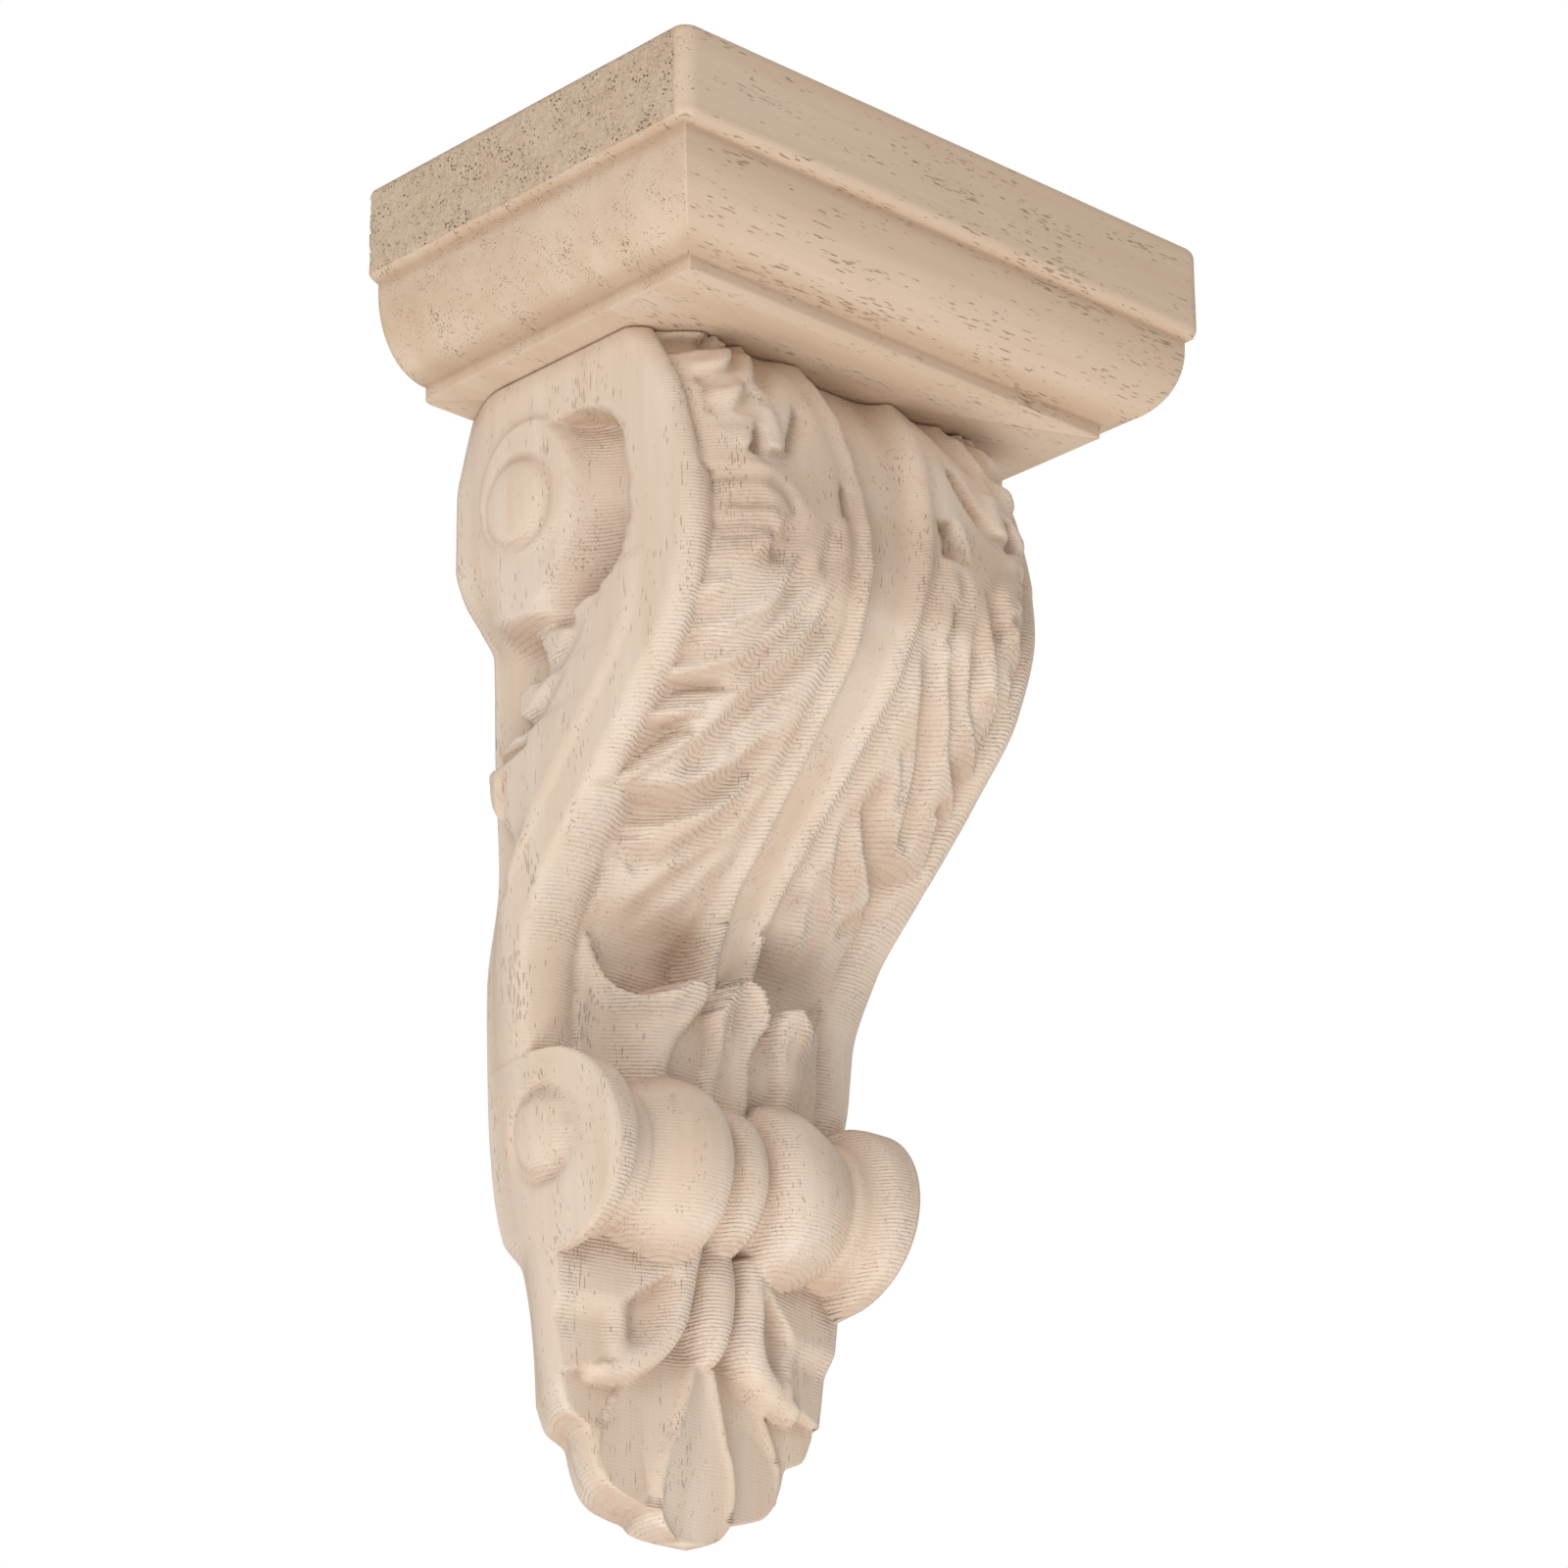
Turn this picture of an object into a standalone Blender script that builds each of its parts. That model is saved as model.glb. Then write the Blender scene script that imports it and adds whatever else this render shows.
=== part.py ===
# A wooden corbel bracket: a carved body under a moulded cap, both solid timber, fixed by the flat back.
# The wall is the plane Y = 0. The front looks towards -Y, and the origin is half-way up the back.
import math

import bmesh
import bpy
import numpy as np
from mathutils import Matrix, Vector

# Overall sizes, in metres: the body takes what the cap leaves of the height
HEIGHT = 0.201
CAP_WIDTH = 0.1075
CAP_DEPTH = 0.071
SLAB_HEIGHT = 0.0152
MOULDING_HEIGHT = 0.0140
PLATE_HEIGHT = 0.0025
BODY_WIDTH = 0.074
BODY_DEPTH = 0.058
GLUE_LINE = 0.0003
CAP_HEIGHT = SLAB_HEIGHT + MOULDING_HEIGHT + PLATE_HEIGHT
BODY_HEIGHT = HEIGHT - CAP_HEIGHT - GLUE_LINE

# The routed edge of the cap, in metres in from the slab's faces
STEP_INSET = 0.0020
STEP_FILLET = 0.0015
PLATE_INSET = 0.0115
PLATE_SHOULDER = 0.0008
SLAB_ARRIS = 0.0016
CORNER_ROUND = 0.0015
ROUTER_OVERRUN = 0.004

# The carver's drawing is in millimetres for this size of body, and is stretched to the sizes above.
# Across is measured from the middle, down from the top of the body, and depth from the wall.
DRAWN_WIDTH = 74.0
DRAWN_HEIGHT = 169.0
DRAWN_DEPTH = 58.0

# The S-curve of the front edge, and the half-widths at the front and at the wall: (down, value)
EDGE_DEPTH = ((0, 40), (13, 46.8), (32, 50.6), (44, 47.2), (56, 38), (68, 27), (78, 18.2), (90, 13.2),
              (103, 12.8), (168, 12.8))
FRONT_HALF = ((0, 37), (18, 36.6), (38, 35.7), (73, 34), (97, 32.6), (105, 31), (128, 28.2),
              (144, 25.6), (150, 24.4))
BACK_HALF = ((0, 32.4), (7, 34), (14, 35.2), (25, 35.2), (31, 33.2), (36, 29.8), (41, 27.3), (54, 27),
             (72, 26), (90, 28), (107, 27.5), (118, 26.5), (127, 24.3), (130.5, 20.6), (142, 18.4),
             (150, 17.8))
SIDE_BAND = ((0, 12), (34, 10), (42, 8.6), (58, 9), (66, 9.2), (76, 8), (90, 14))
BACK_BEVEL_DEPTH = 12.0
BAND_WALL = 2.4
MARGIN_CROWN = 2.2
MARGIN_CROWN_WIDTH = 9.0
MARGIN_DROP = 1.6
MARGIN_DROP_WIDTH = 1.5
TIP_BACK_SHARE = 0.25

# How far the foot curls off the wall: (down, depth)
FOOT_LIFT = ((162, 0), (163.6, 0.3), (166.4, 3.5), (168, 6.4), (169, 9))

# The acanthus leaf on the front
LEAF_HEIGHT = ((0, 6.4), (8, 7.2), (33, 7.8), (58, 7.4), (72, 7.2), (79, 5.8), (85, 2.6), (92, 1.2))
LEAF_HALF = ((0, 32.6), (26, 31.6), (47, 30.6), (64, 29.6), (68, 26.6), (76, 25), (86, 24))
LEAF_SHOULDER = ((0, 5), (40, 7), (64, 11), (86, 14))
LEAF_END = 85.0
STEM_HALF = ((0, 9.2), (10, 8.2), (28, 6.2), (38, 5), (58, 4.2), (88, 3.4))
STEM_END = 93.0
STEM_REACH = 3.0
RIM_CREST = ((0, 7.2), (13, 8.3), (28, 8.4), (43, 8), (63, 8), (80, 8.6), (90, 9.4))
RIM_SHOULDER = 4.5
CHANNEL_DROP = ((0, 3.4), (28, 3.2), (43, 2.3), (68, 1.9), (88, 1.8))
CHANNEL_ROUNDING = 5
FLANK_DROP = ((0, 0.2), (22, 0.4), (32, 1.3), (58, 1.7), (90, 2.4))
VEIN_HEIGHT = 2.0
VEIN_FIRST = -28.0
VEIN_PITCH = 10.5
VEIN_FALL = 26.0
VEIN_CURVE = 1.4
VEIN_FADE = 0.2
VEIN_VALLEY = 0.6
LOBE_CUT = 5.5
LOBE_GAP = 3.6
LOBE_RISE = 9.0
LOBE_INNER = 0.5
LOBE_FADE = 0.35
LOBE_STEPS = (19, 42, 59)

# Pockets cut through the leaf: (across, down, half-width, half-length, slant in degrees, depth)
LEAF_POCKETS = ((10.8, 26, 2.3, 5.6, 4, 2.4), (26, 20.5, 2.6, 4.4, -10, 2.4), (28.6, 2, 3.6, 3.6, 60, 2.4),
                (27.0, 62, 2.4, 5.6, -38, 2.2))

# The volute at the top of each side, with the groove that winds round it: (turn in degrees, value)
VOLUTE_DEPTH = 17.0
VOLUTE_DOWN = 18.4
VOLUTE_EYE_RADIUS = 9.0
VOLUTE_EYE_RISE = 1.1
GROOVE_RIM = ((-60, 10.6), (-30, 10), (0, 11), (30, 12), (50, 13.5), (70, 16), (90, 19))
GROOVE_CREST = ((-56, 11.6), (-37, 15.4), (-27, 18.4), (-15, 21.3), (7, 23.2), (25, 25.2), (42, 27.2),
                (60, 27.2))
GROOVE_SINK = ((-58, 0), (-44, 2.4), (-25, 5), (0, 6.8), (60, 7.2), (85, 0))
GROOVE_LIP = 4.8
GROOVE_SLOPE = 0.85

# Where the volute ends above the side's recess, and how wide its slope is there: (depth, down)
VOLUTE_FOOT = ((0, 25), (3, 31), (8.4, 35), (15.6, 37), (20, 37.2), (30, 36), (35, 35), (44, 34))
FOOT_SLOPE = ((0, 12), (12, 6), (24, 5), (44, 5))

# The roll across the lower body, turned to this outline: (across, radius)
ROLL_DEPTH = 16.3
ROLL_DOWN = 117.5
ROLL_OUTLINE = ((0, 11.8), (2.2, 11.2), (3.8, 9.8), (5, 11.8), (7.5, 14.2), (11, 14.7), (14.5, 13.6),
                (17.5, 11.2), (19.5, 12.2), (21.5, 11.4), (24, 10.8), (26.4, 14), (27.6, 14.6))
ROLL_EYE_RADIUS = 6.0
ROLL_EYE_RISE = 1.1
ROLL_RING_DEPTH = 0.7
ROLL_RING_RADIUS = 7.4
ROLL_RING_WIDTH = 1.2

# The calyx above the roll, (across, value): the top edge of its lobes, the depth there and its fall
CALYX_TOP = ((6.6, 94), (7.3, 91.4), (8.4, 90.2), (10.5, 90), (13, 91.6), (16.4, 92.4), (19.4, 90.4),
             (22, 85.6), (24.2, 78), (24.8, 75))
CALYX_DEPTH = ((6.4, 23), (7.6, 25.4), (10, 26.2), (13, 25.2), (16, 22.4), (19, 19), (22, 17.2), (24.8, 17))
CALYX_FALL = ((7, 0.3), (12, 0.36), (17, 0.3), (22, 0.1), (24.8, 0.05))
CALYX_INNER = 7.2
CALYX_OUTER = 24.6
CALYX_LIP = 1.6
CALYX_END = 109.0
BUD_TOP = ((0, 87.2), (1.4, 87.8), (3, 89.6), (4.4, 92), (5.6, 95.5))
BUD_DEPTH = 26.9
BUD_FALL = 0.34
BUD_HALF = 5.9
BUD_FOLD = 2.4
BUD_ROUNDING = 0.26

# Leaflets under the roll: (across, down, half-width, half-length, lean in degrees, depth of its top)
LEAFLETS = ((0, 133.6, 3.5, 10.8, 0, 21.2), (7.4, 133, 3.8, 10, -8, 20.8), (13.5, 140, 4.6, 6.4, -50, 18.2))
LEAFLET_ROUNDING = 5.0

# The small leaf in the side's recess: its lobed edge as (down, depth), and how it stands over the ground
SIDE_LEAF = ((36, 17), (40, 14.2), (44, 15.6), (46.4, 14.4), (48, 9.2), (50.5, 9.6), (53, 11.4), (55, 5.6),
             (58.6, 1.8), (62, 2.4), (66, 4.8), (70, 9), (78, 9.6))
SIDE_LEAF_STEP = 2.6
SIDE_LEAF_EDGE = 3.4
SIDE_LEAF_DROP = 1.5
SIDE_LEAF_CURVE = 0.9
RECESS_BACK = 6.0
RECESS_END = (73.0, 80.0)

# The petalled tip: its base, and each petal's end
TIP_FACE = ((126, 15), (140, 17), (156, 15.5), (169, 13.7))
TIP_TOP = 128.0
TIP_OVERLAP = 4.0
TIP_CROWN = 0.0035
PETAL_FAN_END = 157.0
PETAL_STEP = 1.9
PETAL_STEP_WIDTH = 1.4
PETAL_HOLLOW = 1.3
PETAL_LINES = ((2.2, 7.4), (12.0, 19.0))
TIP_OUTLINE = ((150, 24.4), (153.5, 22.6), (155.4, 19.0), (158, 18.2), (161, 16.8), (163.2, 14.6),
               (164.6, 10.4), (165.4, 7.6), (166.6, 6.9), (168.1, 4.8), (169, 3.0))

# The carved surface's mesh
ROWS_ABOVE_ROLL = 46
ROWS_OVER_ROLL = 17
ROWS_OF_TIP = 19
RECESS_COLUMNS = 13
BAND_COLUMNS = 2
BACK_COLUMNS = 4
MARGIN_COLUMNS = 2
LEAF_COLUMNS = 10
STEM_COLUMNS = 3

WOOD_COLOUR = (0.76, 0.63, 0.48, 1)
CAP_COLOUR = (0.66, 0.50, 0.34, 1)
WOOD_ROUGHNESS = 0.72


def smooth(value):
    """Ease from 0 to 1 as value goes from 0 to 1."""
    value = np.clip(value, 0, 1)
    return value * value * (3 - 2 * value)


def through(knots, at):
    """A smooth curve through knots that doesn't overshoot them, read at one place or an array."""
    places = np.array([knot[0] for knot in knots], dtype=float)
    values = np.array([knot[1] for knot in knots], dtype=float)
    steps = np.diff(places)
    slopes = np.diff(values) / steps
    tangents = np.concatenate(([slopes[0]], np.zeros(len(knots) - 2), [slopes[-1]]))
    for k in range(1, len(knots) - 1):
        if slopes[k - 1] * slopes[k] > 0:
            tangents[k] = 2 / (1 / slopes[k - 1] + 1 / slopes[k])
    at = np.clip(np.asarray(at, dtype=float), places[0], places[-1])
    k = np.clip(np.searchsorted(places, at) - 1, 0, len(steps) - 1)
    t = (at - places[k]) / steps[k]
    return ((2 * t**3 - 3 * t**2 + 1) * values[k] + (t**3 - 2 * t**2 + t) * steps[k] * tangents[k]
            + (3 * t**2 - 2 * t**3) * values[k + 1] + (t**3 - t**2) * steps[k] * tangents[k + 1])


def oval(across, down, half_width, half_length, lean, place_across, place_down):
    """How far a point is from an oval's middle, as a share of its size."""
    turn = math.radians(lean)
    x = across - place_across
    y = down - place_down
    u = (x * math.cos(turn) + y * math.sin(turn)) / half_width
    v = (y * math.cos(turn) - x * math.sin(turn)) / half_length
    return np.sqrt(u * u + v * v)


def front_half(down):
    """Half-width of the body at its front edge."""
    below = through(TIP_OUTLINE, down)
    return np.where(down > TIP_OUTLINE[0][0], below, through(FRONT_HALF, down))


def back_half(down):
    """Half-width of the body at the wall: in the tip it follows the front outline."""
    tip_start = TIP_OUTLINE[0][0]
    inset = front_half(tip_start) - through(BACK_HALF, tip_start)
    below = np.maximum(front_half(down) - inset, TIP_BACK_SHARE * front_half(down))
    return np.where(down > tip_start, below, through(BACK_HALF, down))


def leaf(across, down):
    """Depth of the acanthus leaf's surface: veins, lobes, pockets, and the midrib's rims and channel."""
    edge = through(EDGE_DEPTH, down)
    half = through(LEAF_HALF, down)
    stem = through(STEM_HALF, down)
    crest = edge + through(RIM_CREST, down)
    rise = smooth((half - across) / through(LEAF_SHOULDER, down))
    surface = edge + through(LEAF_HEIGHT, down) * rise
    blade = (across - stem) / (half - stem)
    turn = (down - VEIN_FIRST - VEIN_FALL * np.clip(blade, 0, 1) ** VEIN_CURVE) / VEIN_PITCH
    fade = smooth(blade / VEIN_FADE) * smooth((1 + 0.1 * VEIN_FADE - blade) / VEIN_FADE)
    surface = surface + VEIN_HEIGHT * (np.abs(np.sin(math.pi * turn)) - VEIN_VALLEY) * fade
    for step in LOBE_STEPS:
        gap = (down - step - LOBE_RISE * blade) / LOBE_GAP
        surface = surface - LOBE_CUT * np.exp(-gap * gap) * smooth((blade - LOBE_INNER) / LOBE_FADE)
    for pocket in LEAF_POCKETS:
        inside = 1 - oval(across, down, *pocket[2:5], pocket[0], pocket[1])
        surface = surface - pocket[5] * smooth(inside * 1.6)
    surface = surface + (crest - surface) * smooth(1 - (across - stem) / RIM_SHOULDER)
    surface = np.where((across < half) & (down < LEAF_END), surface, 0)

    channel = crest - through(CHANNEL_DROP, down) * (1 - np.clip(across / stem, 0, 1) ** CHANNEL_ROUNDING)
    flank = crest - through(FLANK_DROP, down) * smooth((across - stem) / STEM_REACH)
    flank = np.where((across < stem + STEM_REACH) & (down > LEAF_END), flank, 0)
    inner = np.where(across < stem, channel, np.maximum(surface, flank))
    return np.where(down < STEM_END, inner, surface)


def calyx(across, down):
    """Depth of the calyx: two side lobes and a bud between them, each with a lip along its top."""
    below = down - through(CALYX_TOP, across)
    face = through(CALYX_DEPTH, across) - through(CALYX_FALL, across) * np.maximum(below, 0)
    ends = smooth((across - CALYX_INNER + 0.8) / 2) * smooth((CALYX_OUTER + 0.4 - across) / CALYX_LIP)
    side_lobe = face * smooth(below / CALYX_LIP + 0.4) - 5 * (1 - ends)
    below = down - through(BUD_TOP, across)
    fold = np.maximum(across - BUD_FOLD, 0)
    face = BUD_DEPTH - BUD_FALL * np.maximum(below, 0) - BUD_ROUNDING * fold * fold
    bud = np.where(across < BUD_HALF, face * smooth(below / CALYX_LIP + 0.4), 0)
    return np.where(down < CALYX_END, np.maximum(side_lobe, bud), 0)


def roll(across, down):
    """Depth of the turned roll with its bulbs and discs."""
    radius = through(ROLL_OUTLINE, across)
    height = radius**2 - (down - ROLL_DOWN) ** 2
    return np.where(height > 0, ROLL_DEPTH + np.sqrt(np.maximum(height, 0)), 0)


def leaflets(across, down):
    """Depth of the rounded leaflets that come out from under the roll."""
    depth = np.zeros_like(across * down)
    for place, level, half_width, half_length, lean, top in LEAFLETS:
        share = oval(across, down, half_width, half_length, lean, place, level)
        crown = np.sqrt(np.maximum(1 - share * share, 0))
        depth = np.maximum(depth, np.where(share < 1, top - LEAFLET_ROUNDING * (1 - crown), 0))
    return depth


def tip(across, down):
    """Depth of the petalled tip: the middle petal lies over its neighbours, step by step."""
    depth = through(TIP_FACE, down) - TIP_CROWN * across**2
    fan = smooth((down - TIP_TOP) / (PETAL_FAN_END - TIP_TOP))
    inner = 0
    for top, bottom in PETAL_LINES:
        line = top + (bottom - top) * fan
        depth = depth - PETAL_STEP * smooth((across - line) / PETAL_STEP_WIDTH)
        middle = np.clip((across - inner) / (line - inner), 0, 1)
        depth = depth - PETAL_HOLLOW * np.where(across < line, np.sin(math.pi * middle), 0)
        inner = line
    return np.where(down > TIP_TOP - TIP_OVERLAP, depth, 0)


def front(across, down):
    """Depth of the carved front from the wall."""
    across = np.abs(across)
    down = np.asarray(down, dtype=float)
    half = front_half(down)
    edge = through(EDGE_DEPTH, down)
    ground = edge + MARGIN_CROWN * smooth((half - across) / MARGIN_CROWN_WIDTH)
    ground = ground - MARGIN_DROP * smooth((half - across - MARGIN_CROWN_WIDTH) / MARGIN_DROP_WIDTH)
    ground = np.where(down > TIP_TOP, edge, ground)
    forms = (leaf(across, down), calyx(across, down), roll(across, down), leaflets(across, down),
             tip(across, down))
    for form in forms:
        ground = np.maximum(ground, form)
    return ground


def volute(face, depth, down):
    """The side's face with the volute's eye and the groove that deepens as it winds down."""
    x = depth - VOLUTE_DEPTH
    y = down - VOLUTE_DOWN
    reach = np.hypot(x, y)
    turn = np.degrees(np.arctan2(y, x))
    rim = through(GROOVE_RIM, turn)
    crest = through(GROOVE_CREST, turn)
    ramp = smooth((reach - rim) / (GROOVE_SLOPE * (crest - rim)))
    lip = smooth((crest - reach) / GROOVE_LIP)
    eye = np.sqrt(np.clip(1 - (reach / VOLUTE_EYE_RADIUS) ** 2, 0, 1))
    return face - through(GROOVE_SINK, turn) * ramp * lip + VOLUTE_EYE_RISE * eye


def recess(outer, wall, depth, down):
    """The hollow below the volute, with its small leaf rising to the band along the front edge."""
    inner = through(EDGE_DEPTH, down) - through(SIDE_BAND, down)
    leaf_edge = through(SIDE_LEAF, down)
    shelf = SIDE_LEAF_STEP * smooth((depth - leaf_edge) / SIDE_LEAF_EDGE)
    climb = np.clip((depth - leaf_edge) / np.maximum(inner - leaf_edge, 1), 0, 1)
    height = (outer - SIDE_LEAF_DROP - wall - SIDE_LEAF_STEP) * climb**SIDE_LEAF_CURVE
    ground = wall + smooth(depth / RECESS_BACK) + shelf + height
    return ground + (outer - ground) * smooth((depth - inner) / BAND_WALL)


def side(depth, down):
    """Half-width of the carved side at a depth from the wall."""
    depth = np.asarray(depth, dtype=float)
    down = np.asarray(down, dtype=float)
    outer = front_half(down)
    wall = back_half(down)
    share = np.clip(depth / BACK_BEVEL_DEPTH, 0, 1)
    face = wall + (outer - wall) * smooth(0.5 * share + 0.5 * np.sqrt(share))
    low = smooth((down - RECESS_END[0]) / (RECESS_END[1] - RECESS_END[0]))
    below = recess(outer, wall, depth, down) * (1 - low) + face * low
    under = smooth((down - through(VOLUTE_FOOT, depth)) / through(FOOT_SLOPE, depth))
    ground = volute(face, depth, down) * (1 - under) + below * under

    reach = np.hypot(depth - ROLL_DEPTH, down - ROLL_DOWN)
    ring = np.exp(-((reach - ROLL_RING_RADIUS) / ROLL_RING_WIDTH) ** 2)
    eye = np.sqrt(np.clip(1 - (reach / ROLL_EYE_RADIUS) ** 2, 0, 1))
    return ground - ROLL_RING_DEPTH * ring + ROLL_EYE_RISE * eye


def row_levels():
    """How far down each row of the mesh lies: closer together over the roll and the tip."""
    top = ROLL_DOWN - ROLL_OUTLINE[-1][1]
    bottom = ROLL_DOWN + ROLL_OUTLINE[-1][1]
    above = np.linspace(0, top - 0.4, ROWS_ABOVE_ROLL)
    turns = np.linspace(-0.5 * math.pi, 0.5 * math.pi, ROWS_OVER_ROLL)
    over = ROLL_DOWN + ROLL_OUTLINE[-1][1] * np.sin(turns) * 0.999
    below = np.linspace(bottom + 0.8, DRAWN_HEIGHT, ROWS_OF_TIP)
    return np.concatenate((above, over, below))


def front_columns(half, down):
    """Places across the front, from the middle to the edge, that keep to the leaf's own lines."""
    stem_edge = min(float(through(STEM_HALF, down)), 0.3 * half)
    leaf_edge = min(float(through(LEAF_HALF, down)), 0.86 * half)
    middle = np.linspace(0, stem_edge, STEM_COLUMNS + 1)
    blade = np.linspace(stem_edge, leaf_edge, LEAF_COLUMNS + 1)[1:]
    margin = np.linspace(leaf_edge, half, MARGIN_COLUMNS + 1)[1:]
    return np.concatenate((middle, blade, margin))


def side_columns(edge_depth, down):
    """Depths across the side, from the wall to the front edge, that keep to the band's inner line."""
    inner = through(EDGE_DEPTH, down) - through(SIDE_BAND, down)
    inner = np.clip(inner, 0.45 * edge_depth, 0.82 * edge_depth)
    hollow = (inner - BAND_WALL) * np.linspace(0, 1, RECESS_COLUMNS + 1) ** 1.15
    band = np.linspace(inner, edge_depth, BAND_COLUMNS + 1)
    return np.concatenate((hollow, band))


def contour(down):
    """One level of the body as a ring of (across, depth), from the wall's left corner round the front."""
    edge_depth = float(front(front_half(down), down))
    for _ in range(4):
        corner = float(side(edge_depth, down))
        edge_depth = float(front(corner, down))
    lift = float(through(FOOT_LIFT, down))
    depths = lift + side_columns(edge_depth, down) * (1 - lift / edge_depth)
    widths = side(depths, down)
    widths[-1] = corner
    columns = front_columns(corner, down)
    fronts = front(columns, down)
    fronts[-1] = edge_depth
    left = [(-w, d) for w, d in zip(widths, depths)]
    left_front = [(-x, d) for x, d in zip(columns[::-1], fronts[::-1])][1:]
    right_front = [(x, d) for x, d in zip(columns, fronts)][1:]
    right = [(w, d) for w, d in zip(widths[::-1], depths[::-1])][1:]
    across_wall = np.linspace(widths[0], -widths[0], BACK_COLUMNS + 1)[1:-1]
    return left + left_front + right_front + right + [(x, lift) for x in across_wall]


def timber(name, colour):
    """Plain unfinished wood."""
    material = bpy.data.materials.new(name)
    material.use_nodes = True
    shader = material.node_tree.nodes["Principled BSDF"]
    shader.inputs["Base Color"].default_value = colour
    shader.inputs["Roughness"].default_value = WOOD_ROUGHNESS
    shader.inputs["Metallic"].default_value = 0.0
    return material


def body_top():
    """Height of the body's top above the origin, which is half-way up the whole back."""
    return HEIGHT / 2 - CAP_HEIGHT - GLUE_LINE


def make_body(collection):
    """The carved body: level contours joined into one closed skin."""
    scale_x = BODY_WIDTH / DRAWN_WIDTH
    scale_y = BODY_DEPTH / DRAWN_DEPTH
    scale_z = BODY_HEIGHT / DRAWN_HEIGHT
    top = body_top()
    bm = bmesh.new()
    rings = []
    for down in row_levels():
        ring = [bm.verts.new((x * scale_x, -d * scale_y, top - down * scale_z)) for x, d in contour(down)]
        rings.append(ring)
    count = len(rings[0])
    for upper, lower in zip(rings, rings[1:]):
        for k in range(count):
            n = (k + 1) % count
            bm.faces.new((upper[k], lower[k], lower[n], upper[n]))
    ends = [bm.faces.new(rings[0]), bm.faces.new(rings[-1][::-1])]
    bmesh.ops.poke(bm, faces=ends)
    bmesh.ops.triangulate(bm, faces=bm.faces[:])
    bmesh.ops.recalc_face_normals(bm, faces=bm.faces[:])
    mesh = bpy.data.meshes.new("body")
    bm.to_mesh(mesh)
    bm.free()
    mesh.shade_smooth()
    mesh.set_sharp_from_angle(angle=math.radians(40))
    body = bpy.data.objects.new("body", mesh)
    body.data.materials.append(timber("carved rubberwood", WOOD_COLOUR))
    collection.objects.link(body)
    return body


def arc(centre, radius, start, end, steps):
    """Points along an elliptical arc, with angles in degrees."""
    points = []
    for k in range(steps + 1):
        turn = math.radians(start + (end - start) * k / steps)
        points.append((centre[0] + radius[0] * math.cos(turn), centre[1] + radius[1] * math.sin(turn)))
    return points


def waste_outline():
    """What the router takes off an edge: (in from the face, up from the cap's underside)."""
    moulding_foot = PLATE_HEIGHT
    slab_foot = PLATE_HEIGHT + MOULDING_HEIGHT
    top = slab_foot + SLAB_HEIGHT
    ovolo_out = STEP_INSET
    ovolo_in = PLATE_INSET - PLATE_SHOULDER
    ovolo_top = slab_foot - STEP_FILLET
    outline = [(-ROUTER_OVERRUN, -ROUTER_OVERRUN), (PLATE_INSET, -ROUTER_OVERRUN)]
    outline.append((PLATE_INSET, moulding_foot))
    outline += arc((ovolo_in, ovolo_top), (ovolo_in - ovolo_out, ovolo_top - moulding_foot), 270, 180, 10)
    outline.append((STEP_INSET, slab_foot))
    outline += arc((SLAB_ARRIS, slab_foot + SLAB_ARRIS), (SLAB_ARRIS, SLAB_ARRIS), 270, 180, 4)
    outline += arc((SLAB_ARRIS, top - SLAB_ARRIS), (SLAB_ARRIS, SLAB_ARRIS), 180, 90, 4)
    outline += [(SLAB_ARRIS, top + ROUTER_OVERRUN), (-ROUTER_OVERRUN, top + ROUTER_OVERRUN)]
    return outline


def make_cutter(name, length, collection):
    """A long bar with the waste's outline, running along X, as a mesh."""
    curve = bpy.data.curves.new(name, "CURVE")
    curve.dimensions = "2D"
    curve.fill_mode = "BOTH"
    curve.extrude = length / 2
    outline = waste_outline()
    spline = curve.splines.new("POLY")
    spline.points.add(len(outline) - 1)
    for point, (inset, height) in zip(spline.points, outline):
        point.co = (inset, height, 0, 1)
    spline.use_cyclic_u = True
    drawn = bpy.data.objects.new(name + "_outline", curve)
    bpy.context.scene.collection.objects.link(drawn)
    graph = bpy.context.evaluated_depsgraph_get()
    mesh = bpy.data.meshes.new_from_object(drawn.evaluated_get(graph))
    bpy.data.objects.remove(drawn)
    bm = bmesh.new()
    bm.from_mesh(mesh)
    bmesh.ops.remove_doubles(bm, verts=bm.verts, dist=0.00001)
    bmesh.ops.recalc_face_normals(bm, faces=bm.faces[:])
    bm.to_mesh(mesh)
    bm.free()
    cutter = bpy.data.objects.new(name, mesh)
    cutter.hide_render = True
    cutter.display_type = "WIRE"
    collection.objects.link(cutter)
    return cutter


def place_cutter(cutter, face_point, inward, underside):
    """Stand the bar upright so that its outline's first axis points into the block."""
    into = Vector(inward)
    up = Vector((0, 0, 1))
    along = into.cross(up)
    turn = Matrix((into, up, along)).transposed().to_4x4()
    cutter.matrix_world = Matrix.Translation((face_point[0], face_point[1], underside)) @ turn


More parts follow.
